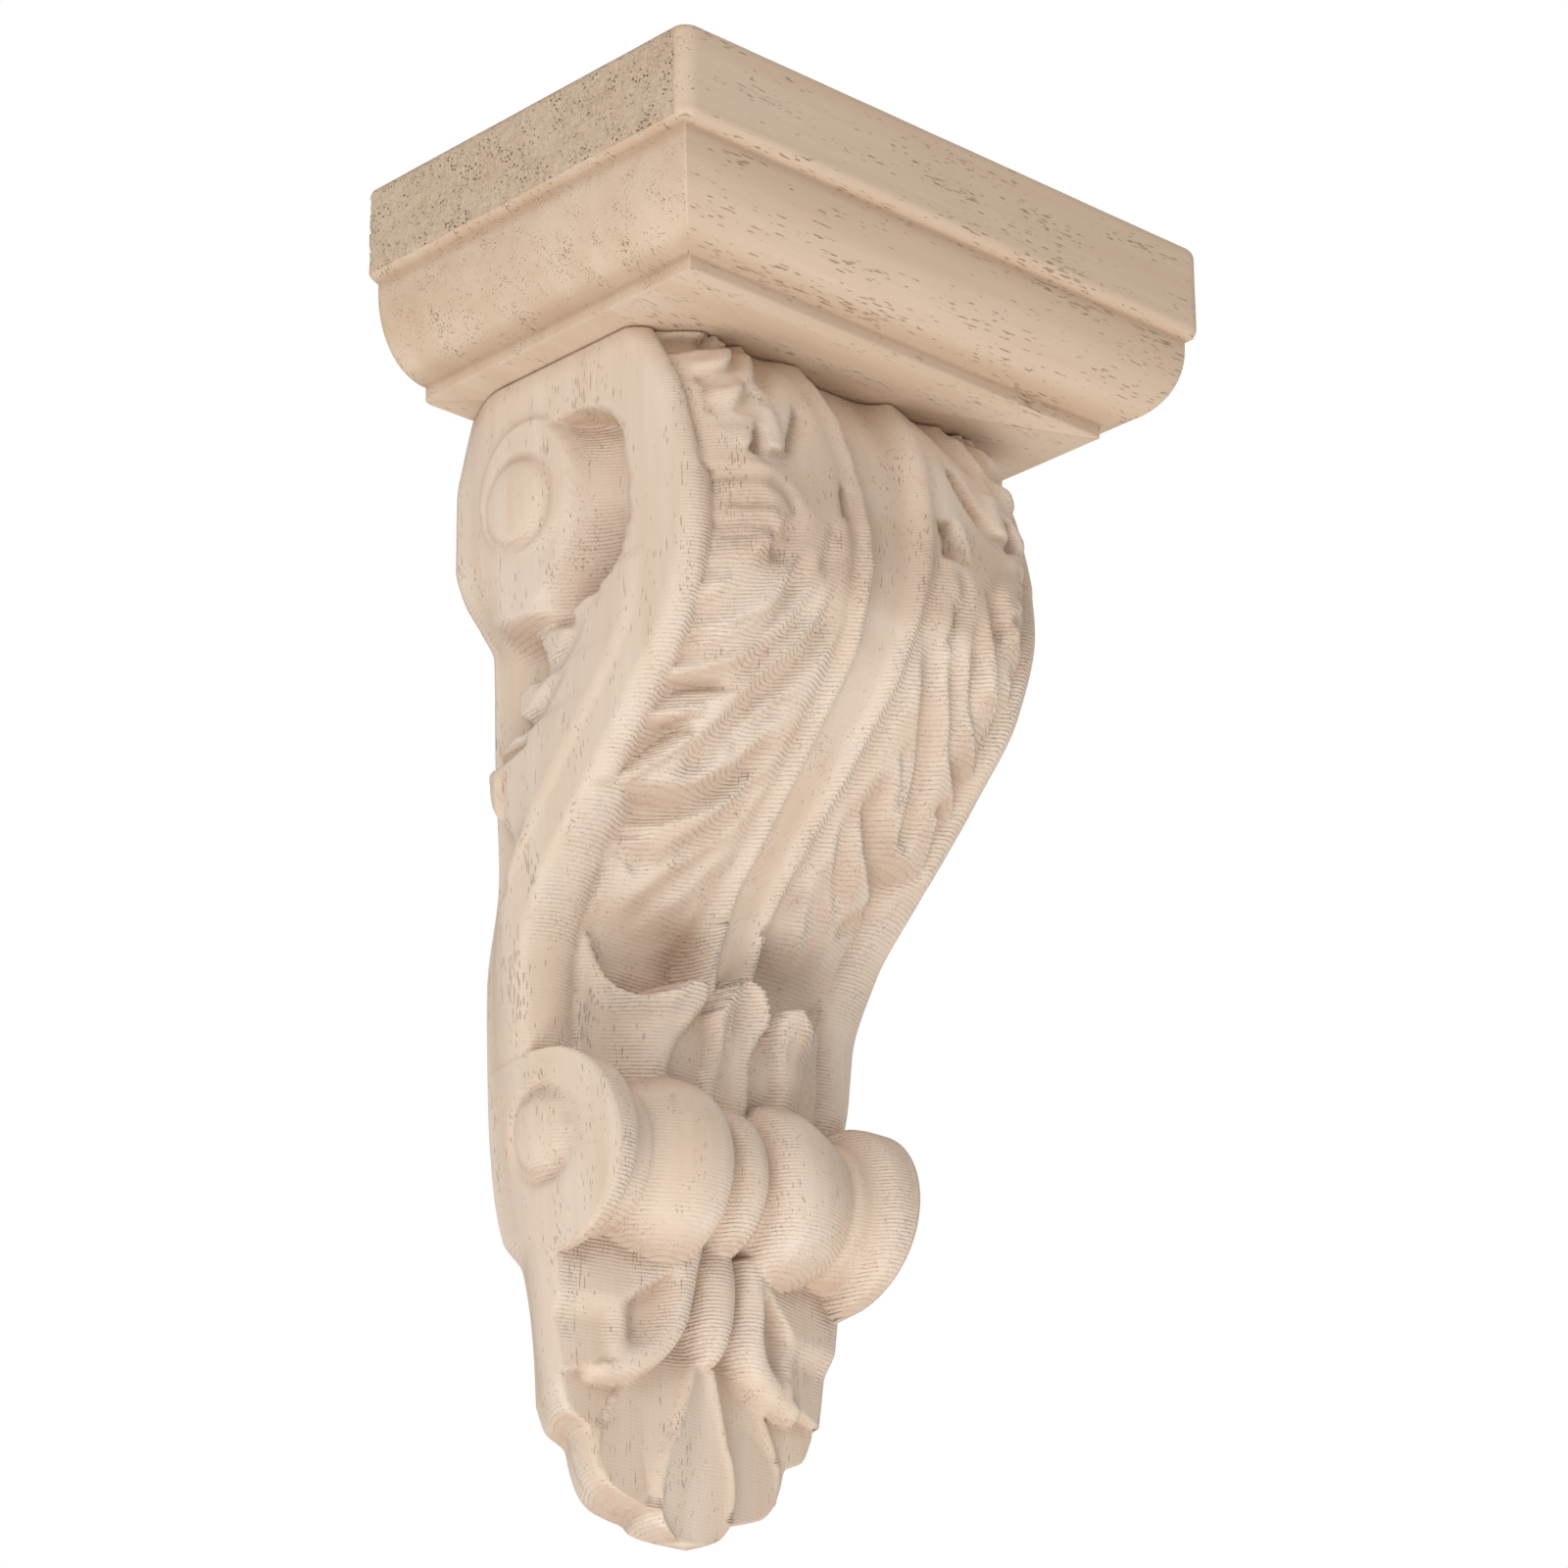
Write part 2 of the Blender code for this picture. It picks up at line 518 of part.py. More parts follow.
def make_cap(collection, cutters):
    """The cap: one block, routed along its front and both ends."""
    height = CAP_HEIGHT
    underside = body_top() + GLUE_LINE
    bm = bmesh.new()
    bmesh.ops.create_cube(bm, size=1)
    bmesh.ops.scale(bm, vec=(CAP_WIDTH, CAP_DEPTH, height), verts=bm.verts)
    bmesh.ops.translate(bm, vec=(0, -CAP_DEPTH / 2, underside + height / 2), verts=bm.verts)
    corners = [e for e in bm.edges if all(v.co.y < -CAP_DEPTH / 2 for v in e.verts)
               and abs(e.verts[0].co.x - e.verts[1].co.x) < height / 2
               and abs(e.verts[0].co.z - e.verts[1].co.z) > height / 2]
    bmesh.ops.bevel(bm, geom=corners, offset=CORNER_ROUND, segments=4, profile=0.5, affect="EDGES")
    mesh = bpy.data.meshes.new("cap")
    bm.to_mesh(mesh)
    bm.free()
    cap = bpy.data.objects.new("cap", mesh)
    cap.data.materials.append(timber("moulded rubberwood", CAP_COLOUR))
    collection.objects.link(cap)
    passes = (("front_pass", CAP_WIDTH, (0, -CAP_DEPTH), (0, 1, 0)),
              ("left_pass", CAP_DEPTH, (-CAP_WIDTH / 2, -CAP_DEPTH / 2), (1, 0, 0)),
              ("right_pass", CAP_DEPTH, (CAP_WIDTH / 2, -CAP_DEPTH / 2), (-1, 0, 0)))
    for name, length, face_point, inward in passes:
        cutter = make_cutter(name, length + 2 * ROUTER_OVERRUN, cutters)
        place_cutter(cutter, face_point, inward, underside)
        cut = cap.modifiers.new(name, "BOOLEAN")
        cut.operation = "DIFFERENCE"
        cut.solver = "EXACT"
        cut.object = cutter
    return cap


def main():
    for old in list(bpy.data.objects):
        bpy.data.objects.remove(old, do_unlink=True)
    bracket = bpy.data.collections.new("wooden_corbel_bracket")
    cutters = bpy.data.collections.new("cutters")
    for collection in (bracket, cutters):
        bpy.context.scene.collection.children.link(collection)
    make_body(bracket)
    make_cap(bracket, cutters)


main()
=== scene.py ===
import math

import bpy
import numpy as np
from mathutils import Matrix, Vector, noise


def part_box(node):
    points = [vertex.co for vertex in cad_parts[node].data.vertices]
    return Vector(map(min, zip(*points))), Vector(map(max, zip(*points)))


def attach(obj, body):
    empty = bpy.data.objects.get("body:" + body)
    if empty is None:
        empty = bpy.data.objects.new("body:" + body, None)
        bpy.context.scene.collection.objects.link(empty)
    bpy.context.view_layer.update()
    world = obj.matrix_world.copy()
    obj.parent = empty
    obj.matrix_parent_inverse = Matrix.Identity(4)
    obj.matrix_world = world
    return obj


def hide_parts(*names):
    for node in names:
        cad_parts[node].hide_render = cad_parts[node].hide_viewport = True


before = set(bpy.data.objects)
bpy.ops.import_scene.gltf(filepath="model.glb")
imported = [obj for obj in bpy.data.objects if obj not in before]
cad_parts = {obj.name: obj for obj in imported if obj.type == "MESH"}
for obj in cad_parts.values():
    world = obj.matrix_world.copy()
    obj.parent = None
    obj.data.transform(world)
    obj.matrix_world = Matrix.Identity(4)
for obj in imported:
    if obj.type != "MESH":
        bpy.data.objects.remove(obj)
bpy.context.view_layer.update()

# The carving is drawn in millimetres: across from the middle, level below the cap's top,
# depth out from the wall. The picture's frame is 1600 by 1600.
mm = 0.001
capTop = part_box("cap")[1][2]


def ease(v):
    v = np.clip(v, 0, 1)
    return v * v * (3 - 2 * v)


def curve(knots, at):
    # a smooth curve through the knots that never overshoots them
    places = np.array([k[0] for k in knots], dtype=float)
    values = np.array([k[1] for k in knots], dtype=float)
    steps = np.diff(places)
    slopes = np.diff(values) / steps
    lean = np.concatenate(([slopes[0]], np.zeros(len(knots) - 2), [slopes[-1]]))
    for k in range(1, len(knots) - 1):
        if slopes[k - 1] * slopes[k] > 0:
            lean[k] = 2 / (1 / slopes[k - 1] + 1 / slopes[k])
    at = np.clip(np.asarray(at, dtype=float), places[0], places[-1])
    k = np.clip(np.searchsorted(places, at) - 1, 0, len(steps) - 1)
    t = (at - places[k]) / steps[k]
    return ((2 * t**3 - 3 * t**2 + 1) * values[k] + (t**3 - 2 * t**2 + t) * steps[k] * lean[k]
            + (3 * t**2 - 2 * t**3) * values[k + 1] + (t**3 - t**2) * steps[k] * lean[k + 1])


def rounded(points, steps=5):
    # the drawn points joined by a flowing line
    p = [np.array(q, dtype=float) for q in points]
    p = [2 * p[0] - p[1]] + p + [2 * p[-1] - p[-2]]
    line = []
    for a, b, c, d in zip(p, p[1:], p[2:], p[3:]):
        for k in range(steps):
            t = k / steps
            line.append(0.5 * (2 * b + (c - a) * t + (2 * a - 5 * b + 4 * c - d) * t * t
                               + (3 * b - a - 3 * c + d) * t**3))
    return line + [p[-2]]


def nearLine(points, x, y):
    # distance to a drawn line, the share of its length at the nearest point, and the hand (-1 or 1)
    line = rounded(points) if len(points) > 2 else [np.array(q, dtype=float) for q in points]
    total = sum(np.hypot(*(b - a)) for a, b in zip(line, line[1:]))
    best = np.full(np.shape(x), 1e6)
    share = np.zeros(np.shape(x))
    hand = np.ones(np.shape(x))
    run = 0.0
    for a, b in zip(line, line[1:]):
        dx, dy = b - a
        size = math.hypot(dx, dy)
        t = np.clip(((x - a[0]) * dx + (y - a[1]) * dy) / (size * size), 0, 1)
        gap = np.hypot(x - a[0] - t * dx, y - a[1] - t * dy)
        closer = gap < best
        best = np.where(closer, gap, best)
        share = np.where(closer, (run + t * size) / total, share)
        hand = np.where(closer, np.where(dx * (y - a[1]) - dy * (x - a[0]) > 0, 1, -1), hand)
        run += size
    return best, share, hand


def fading(share, fade):
    start = ease(share / fade[0]) if fade[0] > 0 else 1
    end = ease((1 - share) / fade[1]) if fade[1] > 0 else 1
    return start * end


def gouge(points, x, y, width, depth, flare=1.0, fade=(0.15, 0.15)):
    # a round-bottomed cut with crisp banks: half-width at its start, flare times that at its end
    gap, share, _ = nearLine(points, x, y)
    reach = np.clip(1 - gap / (width * (1 + (flare - 1) * share)), 0, 1)
    return depth * np.sin(0.5 * math.pi * reach) * fading(share, fade)


def pocket(points, x, y, width, depth, flare=1.0, fade=(0.15, 0.15), flat=0.0):
    # a cut with soft banks and a flat floor
    gap, share, _ = nearLine(points, x, y)
    reach = 1 - gap / (width * (1 + (flare - 1) * share))
    return depth * ease(reach / (1 - flat)) * fading(share, fade)


def bump(points, x, y, width, height):
    gap, share, _ = nearLine(points, x, y)
    return height * np.exp(-(gap / width) ** 2) * fading(share, (0.12, 0.12))


# The S-curve of the body and its half-widths, by level
bodyShape = {
    "top": 32.0, "height": 169.0,
    "edgeDepth": ((32, 40), (45, 46.8), (64, 50.6), (76, 47.2), (88, 38), (100, 27), (110, 18.2),
                  (122, 13.2), (135, 12.8), (200, 12.8)),
    "frontHalf": ((32, 37), (50, 36.6), (70, 35.7), (105, 34), (129, 32.6), (137, 31), (160, 28.2),
                  (176, 25.6), (182, 24.4)),
    "backHalf": ((32, 32.4), (39, 34), (46, 35.2), (57, 35.2), (62, 33.4), (66, 30), (69.5, 27.5), (86, 27),
                 (104, 26), (122, 28), (139, 27.5), (150, 26.5), (159, 24.3), (162.5, 20.6), (174, 18.4),
                 (182, 17.8)),
    "tipOutline": ((182, 24.4), (185.5, 22.6), (187.4, 19.0), (190, 18.2), (193, 16.8), (195.2, 14.6),
                   (196.6, 10.4), (197.4, 7.6), (198.6, 6.9), (200.1, 4.8), (201, 3.0)),
    "lift": ((194, 0), (195.6, 0.3), (198.4, 3.5), (200, 6.4), (201, 9)),
    "bandWidth": ((32, 12), (66, 10), (74, 8.6), (90, 9), (98, 9.2), (108, 8), (122, 14)),
    "bandWall": 1.6, "bevel": 12.0, "narrowest": 0.25,
    # the ground beside the leaf: its swell, the line along the leaf and the softened corner
    "swell": 2.1, "swellTurn": 0.72, "swellEnd": 160, "line": 0.25, "lineWidth": 0.8,
    "corner": 0.45, "cornerWidth": 0.7,
    "rows": 418, "sideColumns": 52, "bandColumns": 8, "frontColumns": 54, "wallColumns": 4,
}

leafShape = {
    "height": ((32, 6.4), (40, 7.2), (65, 7.8), (90, 7.4), (104, 7.2), (111, 5.8), (117, 2.6), (124, 1.2)),
    "half": ((32, 32.6), (56, 32.4), (58, 30.8), (79, 31), (84, 30.4), (98, 30), (99.6, 26.6), (105, 26),
             (107, 24.9), (118, 24.6)),
    "shoulder": ((32, 6), (72, 8), (96, 11), (118, 14)),
    "end": 118.0, "endRun": 9.0, "rimFoot": 4.5, "tuck": 1.2,
    "ribEnd": 126.0, "ribFlank": 3.2, "ribFall": 11.0, "ribRun": 7, "ribOverlap": 6,
    "rimHalf": ((32, 9.2), (42, 8.2), (60, 6.2), (70, 5), (90, 4.2), (120, 3.4)),
    "rimCrest": ((32, 7.2), (45, 8.3), (60, 8.4), (75, 8.0), (95, 8.0), (112, 8.6), (122, 9.4)),
    "channel": ((32, 3.4), (60, 3.2), (75, 2.3), (100, 1.9), (120, 1.8)),
    "strip": ((32, 0.2), (54, 0.4), (64, 1.3), (90, 1.7), (110, 1.6), (122, 2.4)), "stripAt": 2.3,
    "stripWidth": 1.7,
    # furrows between the leaf's lobes: points, half-width, depth, flare, fades
    "furrows": (
        (((18.6, 61), (21.4, 67), (24.4, 72), (27.6, 76.6), (31, 79.4)), 2.3, 2.3, 1.25, (0.25, 0)),
        (((17.4, 67), (19, 74), (21.4, 78.6), (25.6, 81.4), (31, 82.9)), 1.9, 2.2, 1.1, (0.25, 0)),
        (((13.4, 71.6), (16, 77), (19.2, 81), (22, 84.4), (25.4, 86.2), (31, 88)), 1.9, 2.3, 1.25, (0.25, 0)),
        (((9.6, 69), (10.8, 76), (14, 82), (17.6, 87), (19.8, 91.6), (21.6, 96), (22.2, 99)), 2.5, 2.7, 1.0,
         (0.25, 0.15)),
        (((11.4, 85.4), (14.6, 88.6), (16.6, 91.6), (16, 94.2)), 1.3, 1.3, 1.0, (0.25, 0.25)),
        (((10.3, 90), (13.2, 94.6), (17.2, 98.2), (21.4, 100.2), (26, 101.2)), 2.2, 3.0, 1.1, (0.2, 0)),
        (((8.6, 92), (10.6, 98), (13.8, 102.6), (17, 105.4), (19.4, 106.4)), 1.9, 1.7, 1.0, (0.3, 0.25)),
        (((9.6, 101), (12.4, 106), (15.6, 110.4), (18, 114.6)), 2.0, 1.2, 1.3, (0.3, 0.2)),
        (((7.8, 104), (9.4, 110), (10, 116)), 1.7, 0.7, 1.2, (0.3, 0.2)),
        (((26, 104.6), (21.6, 105.8), (18.6, 108.6)), 1.5, 1.2, 1.0, (0, 0.3)),
        (((22.4, 43), (19.4, 38), (16, 31)), 2.4, 1.5, 1.5, (0.3, 0)),
        (((31.6, 42.4), (28, 41.4), (25, 38.4), (22.6, 31.5)), 1.9, 2.0, 1.0, (0.1, 0)),
        (((30.5, 51), (27.6, 48), (25.6, 44), (23.6, 39)), 1.7, 1.3, 1.0, (0.2, 0.3)),
        (((14.2, 40), (16.2, 47), (20, 52.8), (24.6, 54.6), (29, 55)), 1.5, 1.3, 1.0, (0.3, 0.2)),
        (((12.4, 61), (13.8, 66), (14.4, 71)), 1.6, 0.9, 1.0, (0.3, 0.3)),
        (((25.6, 58), (21.8, 60), (19.4, 63.4)), 1.6, 0.8, 1.0, (0.2, 0.3)),
        (((31.4, 65.6), (27, 65.2), (22.8, 67.6), (20.6, 71)), 1.5, 0.9, 1.0, (0, 0.3)),
        (((31.4, 72.6), (28.2, 71.6), (25.6, 69.2)), 1.6, 1.0, 1.0, (0, 0.3)),
    ),
    # narrow gaps and eyes that go deep: points, half-width, depth, flare, fades, flat
    "gaps": (
        (((24.2, 90.4), (27.6, 92.2), (31.6, 94.6)), 0.9, 4.2, 4.6, (0.2, 0), 0.35),
        (((22.6, 77.4), (26, 79.4), (31, 81.4)), 0.6, 1.4, 2.2, (0.2, 0), 0.1),
        (((21, 86.2), (27, 86.2), (31, 87.6)), 0.6, 1.6, 2.4, (0.2, 0), 0.1),
        (((21.6, 103.6), (24, 103.4), (26.6, 103.6)), 0.8, 1.8, 1.8, (0.2, 0), 0.1),
        (((20.4, 52.2), (18.2, 48.4), (15.4, 42.4)), 1.1, 2.4, 0.8, (0.2, 0.2), 0.2),
        (((25.2, 49.2), (25.7, 52), (26.1, 54.6)), 0.7, 3.6, 2.4, (0.15, 0.06), 0.35),
        (((33.4, 35.2), (30, 34.2), (27.4, 34), (25, 32.8)), 2.0, 3.4, 0.8, (0, 0.1), 0.4),
        (((29.4, 61.6), (27.6, 62.6), (25, 62)), 1.2, 0.9, 1.0, (0.2, 0.2), 0.2),
        (((30.6, 67.4), (28.4, 67.2), (26.2, 67.3)), 0.9, 0.7, 0.8, (0.1, 0.2), 0.1),
        (((33.0, 57.4), (31.4, 57.6), (29.6, 58.4), (27.6, 57.8)), 0.9, 0.8, 0.8, (0, 0.2), 0.1),
        (((24.9, 106.6), (24.8, 112), (24.6, 117.8)), 0.8, 2.4, 1.3, (0.2, 0.1), 0.2),
        (((31, 43), (30.2, 45.6), (30.4, 48.6)), 0.8, 1.2, 1.0, (0.2, 0.2), 0.1),
    ),
    "leftGaps": ((((10.2, 54.4), (10.7, 58.2), (10.6, 61)), 1.1, 3.0, 1.0, (0.2, 0.2), 0.35),),
    "rightGaps": ((((10.8, 53.6), (11.8, 57.5), (11.6, 61)), 2.5, 4.0, 1.0, (0.2, 0.2), 0.4),
                  (((12.4, 66), (13, 70), (12.6, 74)), 1.4, 1.4, 1.0, (0.2, 0.3), 0.2)),
    # raised lips and folds: points, width, height
    "lips": (
        (((32.4, 39.4), (28.6, 38.4), (25.6, 35.6), (23.8, 32.5)), 1.1, 1.4),
        (((30.6, 46), (27.6, 43.2), (25, 40), (20.6, 33.5)), 1.5, 1.2),
        (((23.2, 53.4), (22.4, 50), (22.8, 45)), 1.3, 1.0),
        (((28.8, 53.6), (28.2, 50.4), (26.8, 47.4)), 1.0, 1.0),
        (((31, 59.8), (28, 59.6), (24.8, 60.4)), 0.9, 0.5),
        (((30.6, 64.2), (27.4, 64.6), (24.2, 63.4)), 1.0, 0.5),
        (((30.6, 69.6), (27, 69.0), (24, 66.4)), 1.0, 0.45),
        (((11.4, 33), (12, 48), (12.4, 58), (11.4, 68)), 3.2, 0.5),
        (((24.2, 92), (26.4, 95), (30, 98.4)), 0.8, 1.2),
        (((29.6, 91.4), (27.2, 90.4), (24.4, 89.2)), 0.8, 0.8),
    ),
}

calyxShape = {
    "end": 141, "drop": 6, "innerDrop": 5, "middleDrop": 9, "mouth": 0.6,
    # top edge of the side lobes and the depth along it, by across
    "sideTop": ((6.6, 126), (7.3, 123.4), (8.4, 122.2), (10.5, 122), (13, 123.6), (16.4, 124.4),
                (19.4, 122.4), (22, 117.6), (24.2, 110), (24.8, 107)),
    "sideDepth": ((6.4, 23), (7.6, 25.4), (10, 26.2), (13, 25.2), (16, 22.4), (19, 19), (22, 17.2),
                  (24.8, 17)),
    "sideFall": ((7, 0.3), (12, 0.36), (17, 0.3), (22, 0.1), (24.8, 0.05)),
    "sideInner": ((121, 6.8), (124, 6.2), (127.5, 7.6), (130.5, 9.4), (134, 10), (138, 8.6), (141, 7)),
    "sideOuter": 24.6,
    "flare": 1.5, "flareRun": 3.2, "dimple": (15, 127.5, 2.4, 1.3), "fold": (11.6, 128.5, 2.2, 0.6),
    "middleTop": ((0, 119.2), (1.4, 119.8), (3, 121.6), (4.4, 124), (5.6, 127.5)),
    "middleDepth": 26.4, "middleFall": 0.3, "middleRound": 0.24, "middleFold": 2.4,
    "middleHalf": ((119, 4.6), (122, 5.6), (125, 6), (128, 4.9), (131, 4.3), (135, 5), (141, 6)),
    "base": ((120.6, 0), (122.4, 21.4), (141, 17.6)), "baseEnd": 11.0,
    "middleHollow": 1.3, "crease": ((1.2, 121.8), (2.0, 125), (1.6, 131)),
    "lip": ((0, 0.7), (14, 0.8), (19, 2.4), (25, 5.0)),
}

rollShape = {
    "depth": 16.3, "level": 149.5,
    "outline": ((0, 12.0), (1.6, 11.6), (3.0, 10.2), (3.9, 9.8), (5.2, 11.7), (7.0, 13.5), (9, 14.1),
                (11, 14.1), (13.5, 13.5), (16, 12.5), (18.4, 11.3), (19.6, 10.7), (20.6, 11.1),
                (22.4, 11.2), (23.8, 11.7), (25.0, 13.4), (26.0, 14.1), (27.6, 14.3)),
    "eye": 5.4, "eyeAt": (13.8, 146.9), "eyeRise": 1.6, "ring": 0.8, "ringAt": 6.6, "ringWidth": 0.9,
}

leafletShape = {
    "middle": (0, 165.6, 3.5, 10.8), "middleDepth": 21.2, "middleRound": 4.6,
    # each side scroll: its ridge from under the roll, out round the foot of a bowl
    "ridge": ((6.2, 159), (7.0, 163), (7.3, 167), (7.9, 171), (10.2, 174.4), (13.8, 176.9), (17.6, 178.2)),
    "ridgeDepth": ((0, 21.6), (0.25, 20.8), (0.45, 19.8), (0.7, 18), (1, 16.4)),
    "top": 160, "end": 181, "flank": 3.6, "flankDrop": 5.4, "seam": 0.5, "seamWidth": 1.6,
    "band": ((4, 21), (8, 20.6), (12, 19), (17, 17.4), (22, 16.2), (28, 14.8)),
    "bowlTop": ((8, 163.4), (9.2, 163.9), (12, 165.6), (17.4, 168.3), (20, 168.4)),
    "bowl": 3.4, "bowlOuter": 17.3, "outerFoot": 168.6, "outerDrop": 1.9,
}

tipShape = {
    "top": 158.0,
    "face": ((158, 15), (172, 16.4), (188, 15.6), (201, 13.6)), "crown": 0.003,
    "middle": ((160, 1.2), (172, 1.2), (174.5, 1.6), (178, 2.6), (183, 4.1), (187, 5.4), (190, 6.7),
               (194, 7.4), (197, 7.3), (199, 6.2), (201, 4.2)),
    "second": ((160, 7), (172, 7.6), (175, 9.4), (179, 12.6), (182, 14.8), (185, 16.6), (188, 17.8),
               (191, 17.6), (201, 17)),
    "steps": (1.7, 1.5), "stepWidth": 0.8, "hollow": (0.9, 1.2), "rim": 0.35, "third": 1.5,
    "thirdTop": ((7, 174.5), (9, 173.2), (12.5, 171.7), (16.8, 171.1), (19.5, 172.2), (21.7, 174.3),
                 (24.6, 179)),
}

voluteShape = {
    "depth": 17.0, "level": 50.4,
    "rim": ((-60, 10.6), (-30, 10.4), (0, 10.9), (30, 11.6), (50, 13), (70, 15.5), (90, 18)),
    "crest": ((-56, 11.6), (-37, 15.4), (-27, 18.2), (-15, 20.8), (7, 22.4), (25, 24.6), (42, 26.4),
              (60, 26.4)),
    "sink": ((-58, 0), (-46, 2.6), (-25, 5.2), (0, 6.4), (60, 6.8), (85, 0)),
    "lip": 2.2, "wallShare": 0.9, "wallCurve": 2.2, "discWall": 1.3,
    "foot": ((0, 57), (3, 63), (8.4, 67), (15.6, 69), (20, 69.2), (30, 68), (35, 67), (44, 66)),
    "footSlope": ((0, 12), (12, 5), (24, 3.0), (44, 2.4)),
    "disc": (17.7, 50.0, 10.8, 0.9, 0.7), "boss": (16.2, 52.2, 6.7, 1.7), "bossFoot": 0.6,
    "leafEdge": ((68, 17), (72, 14.2), (76, 15.6), (78.2, 14.6), (79.6, 9.4), (82.5, 9.4), (85, 11.6),
                 (86.8, 5.8), (90.6, 1.8), (94, 2.2), (98, 4.6), (102, 8.4), (110, 9.6)),
    "leafStep": 3.2, "leafEdgeWidth": 1.9, "leafDrop": 0.35, "leafSwell": 0.6, "recessEnd": (105.0, 112.0),
    # cuts between the side leaf's lobes: points as depth and level, half-width, depth, flare, fades, flat
    "hollows": (
        (((3.4, 88.4), (9, 88.8), (15.6, 88)), 1.5, 1.6, 1.0, (0.1, 0.2), 0.1),
        (((7.6, 91), (7.6, 95), (6.8, 99)), 2.3, 1.7, 0.6, (0.2, 0.2), 0.1),
        (((14.6, 71.4), (18.6, 70.4), (23, 71.6), (26.4, 74)), 2.4, 2.2, 0.7, (0.15, 0.35), 0.2),
    ),
    # soft valleys between them: points, half-width, depth, flare, fades
    "valleys": (
        (((14.8, 78.4), (19, 78.2), (24, 76), (29, 71.6)), 2.4, 0.9, 1.0, (0.05, 0.3)),
        (((11.4, 85.4), (15.6, 84.6), (20, 81.8), (25, 77.6)), 2.4, 0.9, 1.0, (0.05, 0.3)),
        (((28, 67), (31, 69.6), (31.6, 73)), 1.8, 0.7, 1.0, (0.2, 0.3)),
    ),
}


def frontHalf(level):
    tipStart = bodyShape["tipOutline"][0][0]
    return np.where(level > tipStart, curve(bodyShape["tipOutline"], level),
                    curve(bodyShape["frontHalf"], level))


def backHalf(level):
    tipStart = bodyShape["tipOutline"][0][0]
    inset = frontHalf(tipStart) - curve(bodyShape["backHalf"], tipStart)
    below = np.maximum(frontHalf(level) - inset, bodyShape["narrowest"] * frontHalf(level))
    return np.where(level > tipStart, below, curve(bodyShape["backHalf"], level))


def leafDepth(x, level, edge, ground, right):
    s = leafShape
    half = curve(s["half"], level)
    share = np.clip((half - x) / curve(s["shoulder"], level), 0, 1)
    rise = 0.6 * np.sqrt(1 - (1 - share) ** 2) + 0.4 * ease(share)
    surface = ground + (edge + curve(s["height"], level) - ground) * rise
    # the two rims of the midrib stand between the blade and a smooth channel
    rimAt = curve(s["rimHalf"], level)
    crest = edge + curve(s["rimCrest"], level)
    out = x - rimAt
    surface = surface + (crest - surface) * ease(1 - out / s["rimFoot"])
    surface = surface - curve(s["strip"], level) * np.exp(-((out - s["stripAt"]) / s["stripWidth"]) ** 2)
    for points, width, depth, flare, fade in s["furrows"]:
        surface = surface - gouge(points, x, level, width, depth, flare, fade)
    for points, width, height in s["lips"]:
        surface = surface + bump(points, x, level, width, height)
    for points, width, depth, flare, fade, flat in s["gaps"]:
        surface = surface - pocket(points, x, level, width, depth, flare, fade, flat)
    for name, here in (("leftGaps", not right), ("rightGaps", right)):
        for points, width, depth, flare, fade, flat in s[name]:
            surface = surface - pocket(points, x, level, width, depth, flare, fade, flat) * here
    surface = ground + (surface - ground) * ease((s["end"] - level) / s["endRun"])
    blade = np.where((x < half) & (level < s["end"]), surface, 0)
    channel = crest - curve(s["channel"], level) * (1 - np.clip(x / rimAt, 0, 1) ** 5)
    flank = crest - curve(s["strip"], level) * ease(out / 2.2) - s["tuck"] * ease(out / 3 - 0.6)
    sinking = ease((level - s["end"] + s["ribFall"]) / s["ribRun"])
    flank = flank - s["ribFall"] * ease(out / s["ribFlank"]) * sinking
    rib = np.where(out < 0, channel, flank)
    rib = np.where((level < s["ribEnd"]) & (out < s["ribFlank"]), rib, 0)
    tail = np.where(level > s["end"] - s["ribOverlap"], rib, 0)
    return np.where(out < 0, rib, np.maximum(blade, tail))


def calyxDepth(x, level):
    s = calyxShape
    below = level - curve(s["sideTop"], x)
    lip = curve(s["lip"], x)
    face = curve(s["sideDepth"], x) - curve(s["sideFall"], x) * np.maximum(below, 0)
    face = face + s["flare"] * (np.exp(-(below / s["flareRun"]) ** 2) - 0.5)
    start = curve(s["sideInner"], level)
    inner = np.sqrt(np.clip((x - start + 0.8) / 2.4, 0, 1))
    outer = ease((s["sideOuter"] + 0.4 - x) / 1.6)
    side = face - s["drop"] * (1 - ease(below / lip + 0.4)) - s["innerDrop"] * (1 - inner)
    side = side - s["drop"] * (1 - outer)
    for name in ("dimple", "fold"):
        cx, cy, size, deep = s[name]
        side = side - deep * np.exp(-((x - cx) ** 2 + (level - cy) ** 2) / size**2)
    side = np.where((below > -s["mouth"] * lip) & (level < s["end"]) & (x > start - 0.8), side, 0)
    below = level - curve(s["middleTop"], x)
    fold = np.maximum(x - s["middleFold"], 0)
    hollow = s["middleHollow"] * np.clip(1 - x / s["middleFold"], 0, 1) * ease((134 - level) / 12)
    face = s["middleDepth"] - s["middleFall"] * np.maximum(below, 0) - s["middleRound"] * fold * fold - hollow
    face = face - gouge(s["crease"], x, level, 0.8, 0.5)
    face = face + s["flare"] * (np.exp(-(below / s["flareRun"]) ** 2) - 0.5)
    beyond = x - curve(s["middleHalf"], level)
    middle = face - s["drop"] * (1 - ease(below / lip + 0.4)) - s["middleDrop"] * ease(beyond / 2.8 + 0.5)
    middle = np.where((below > -s["mouth"] * lip) & (level < s["end"]) & (beyond < 1.4), middle, 0)
    base = np.where((level < s["end"]) & (x < s["baseEnd"]), curve(s["base"], level), 0)
    return np.maximum(np.maximum(side, middle), base)


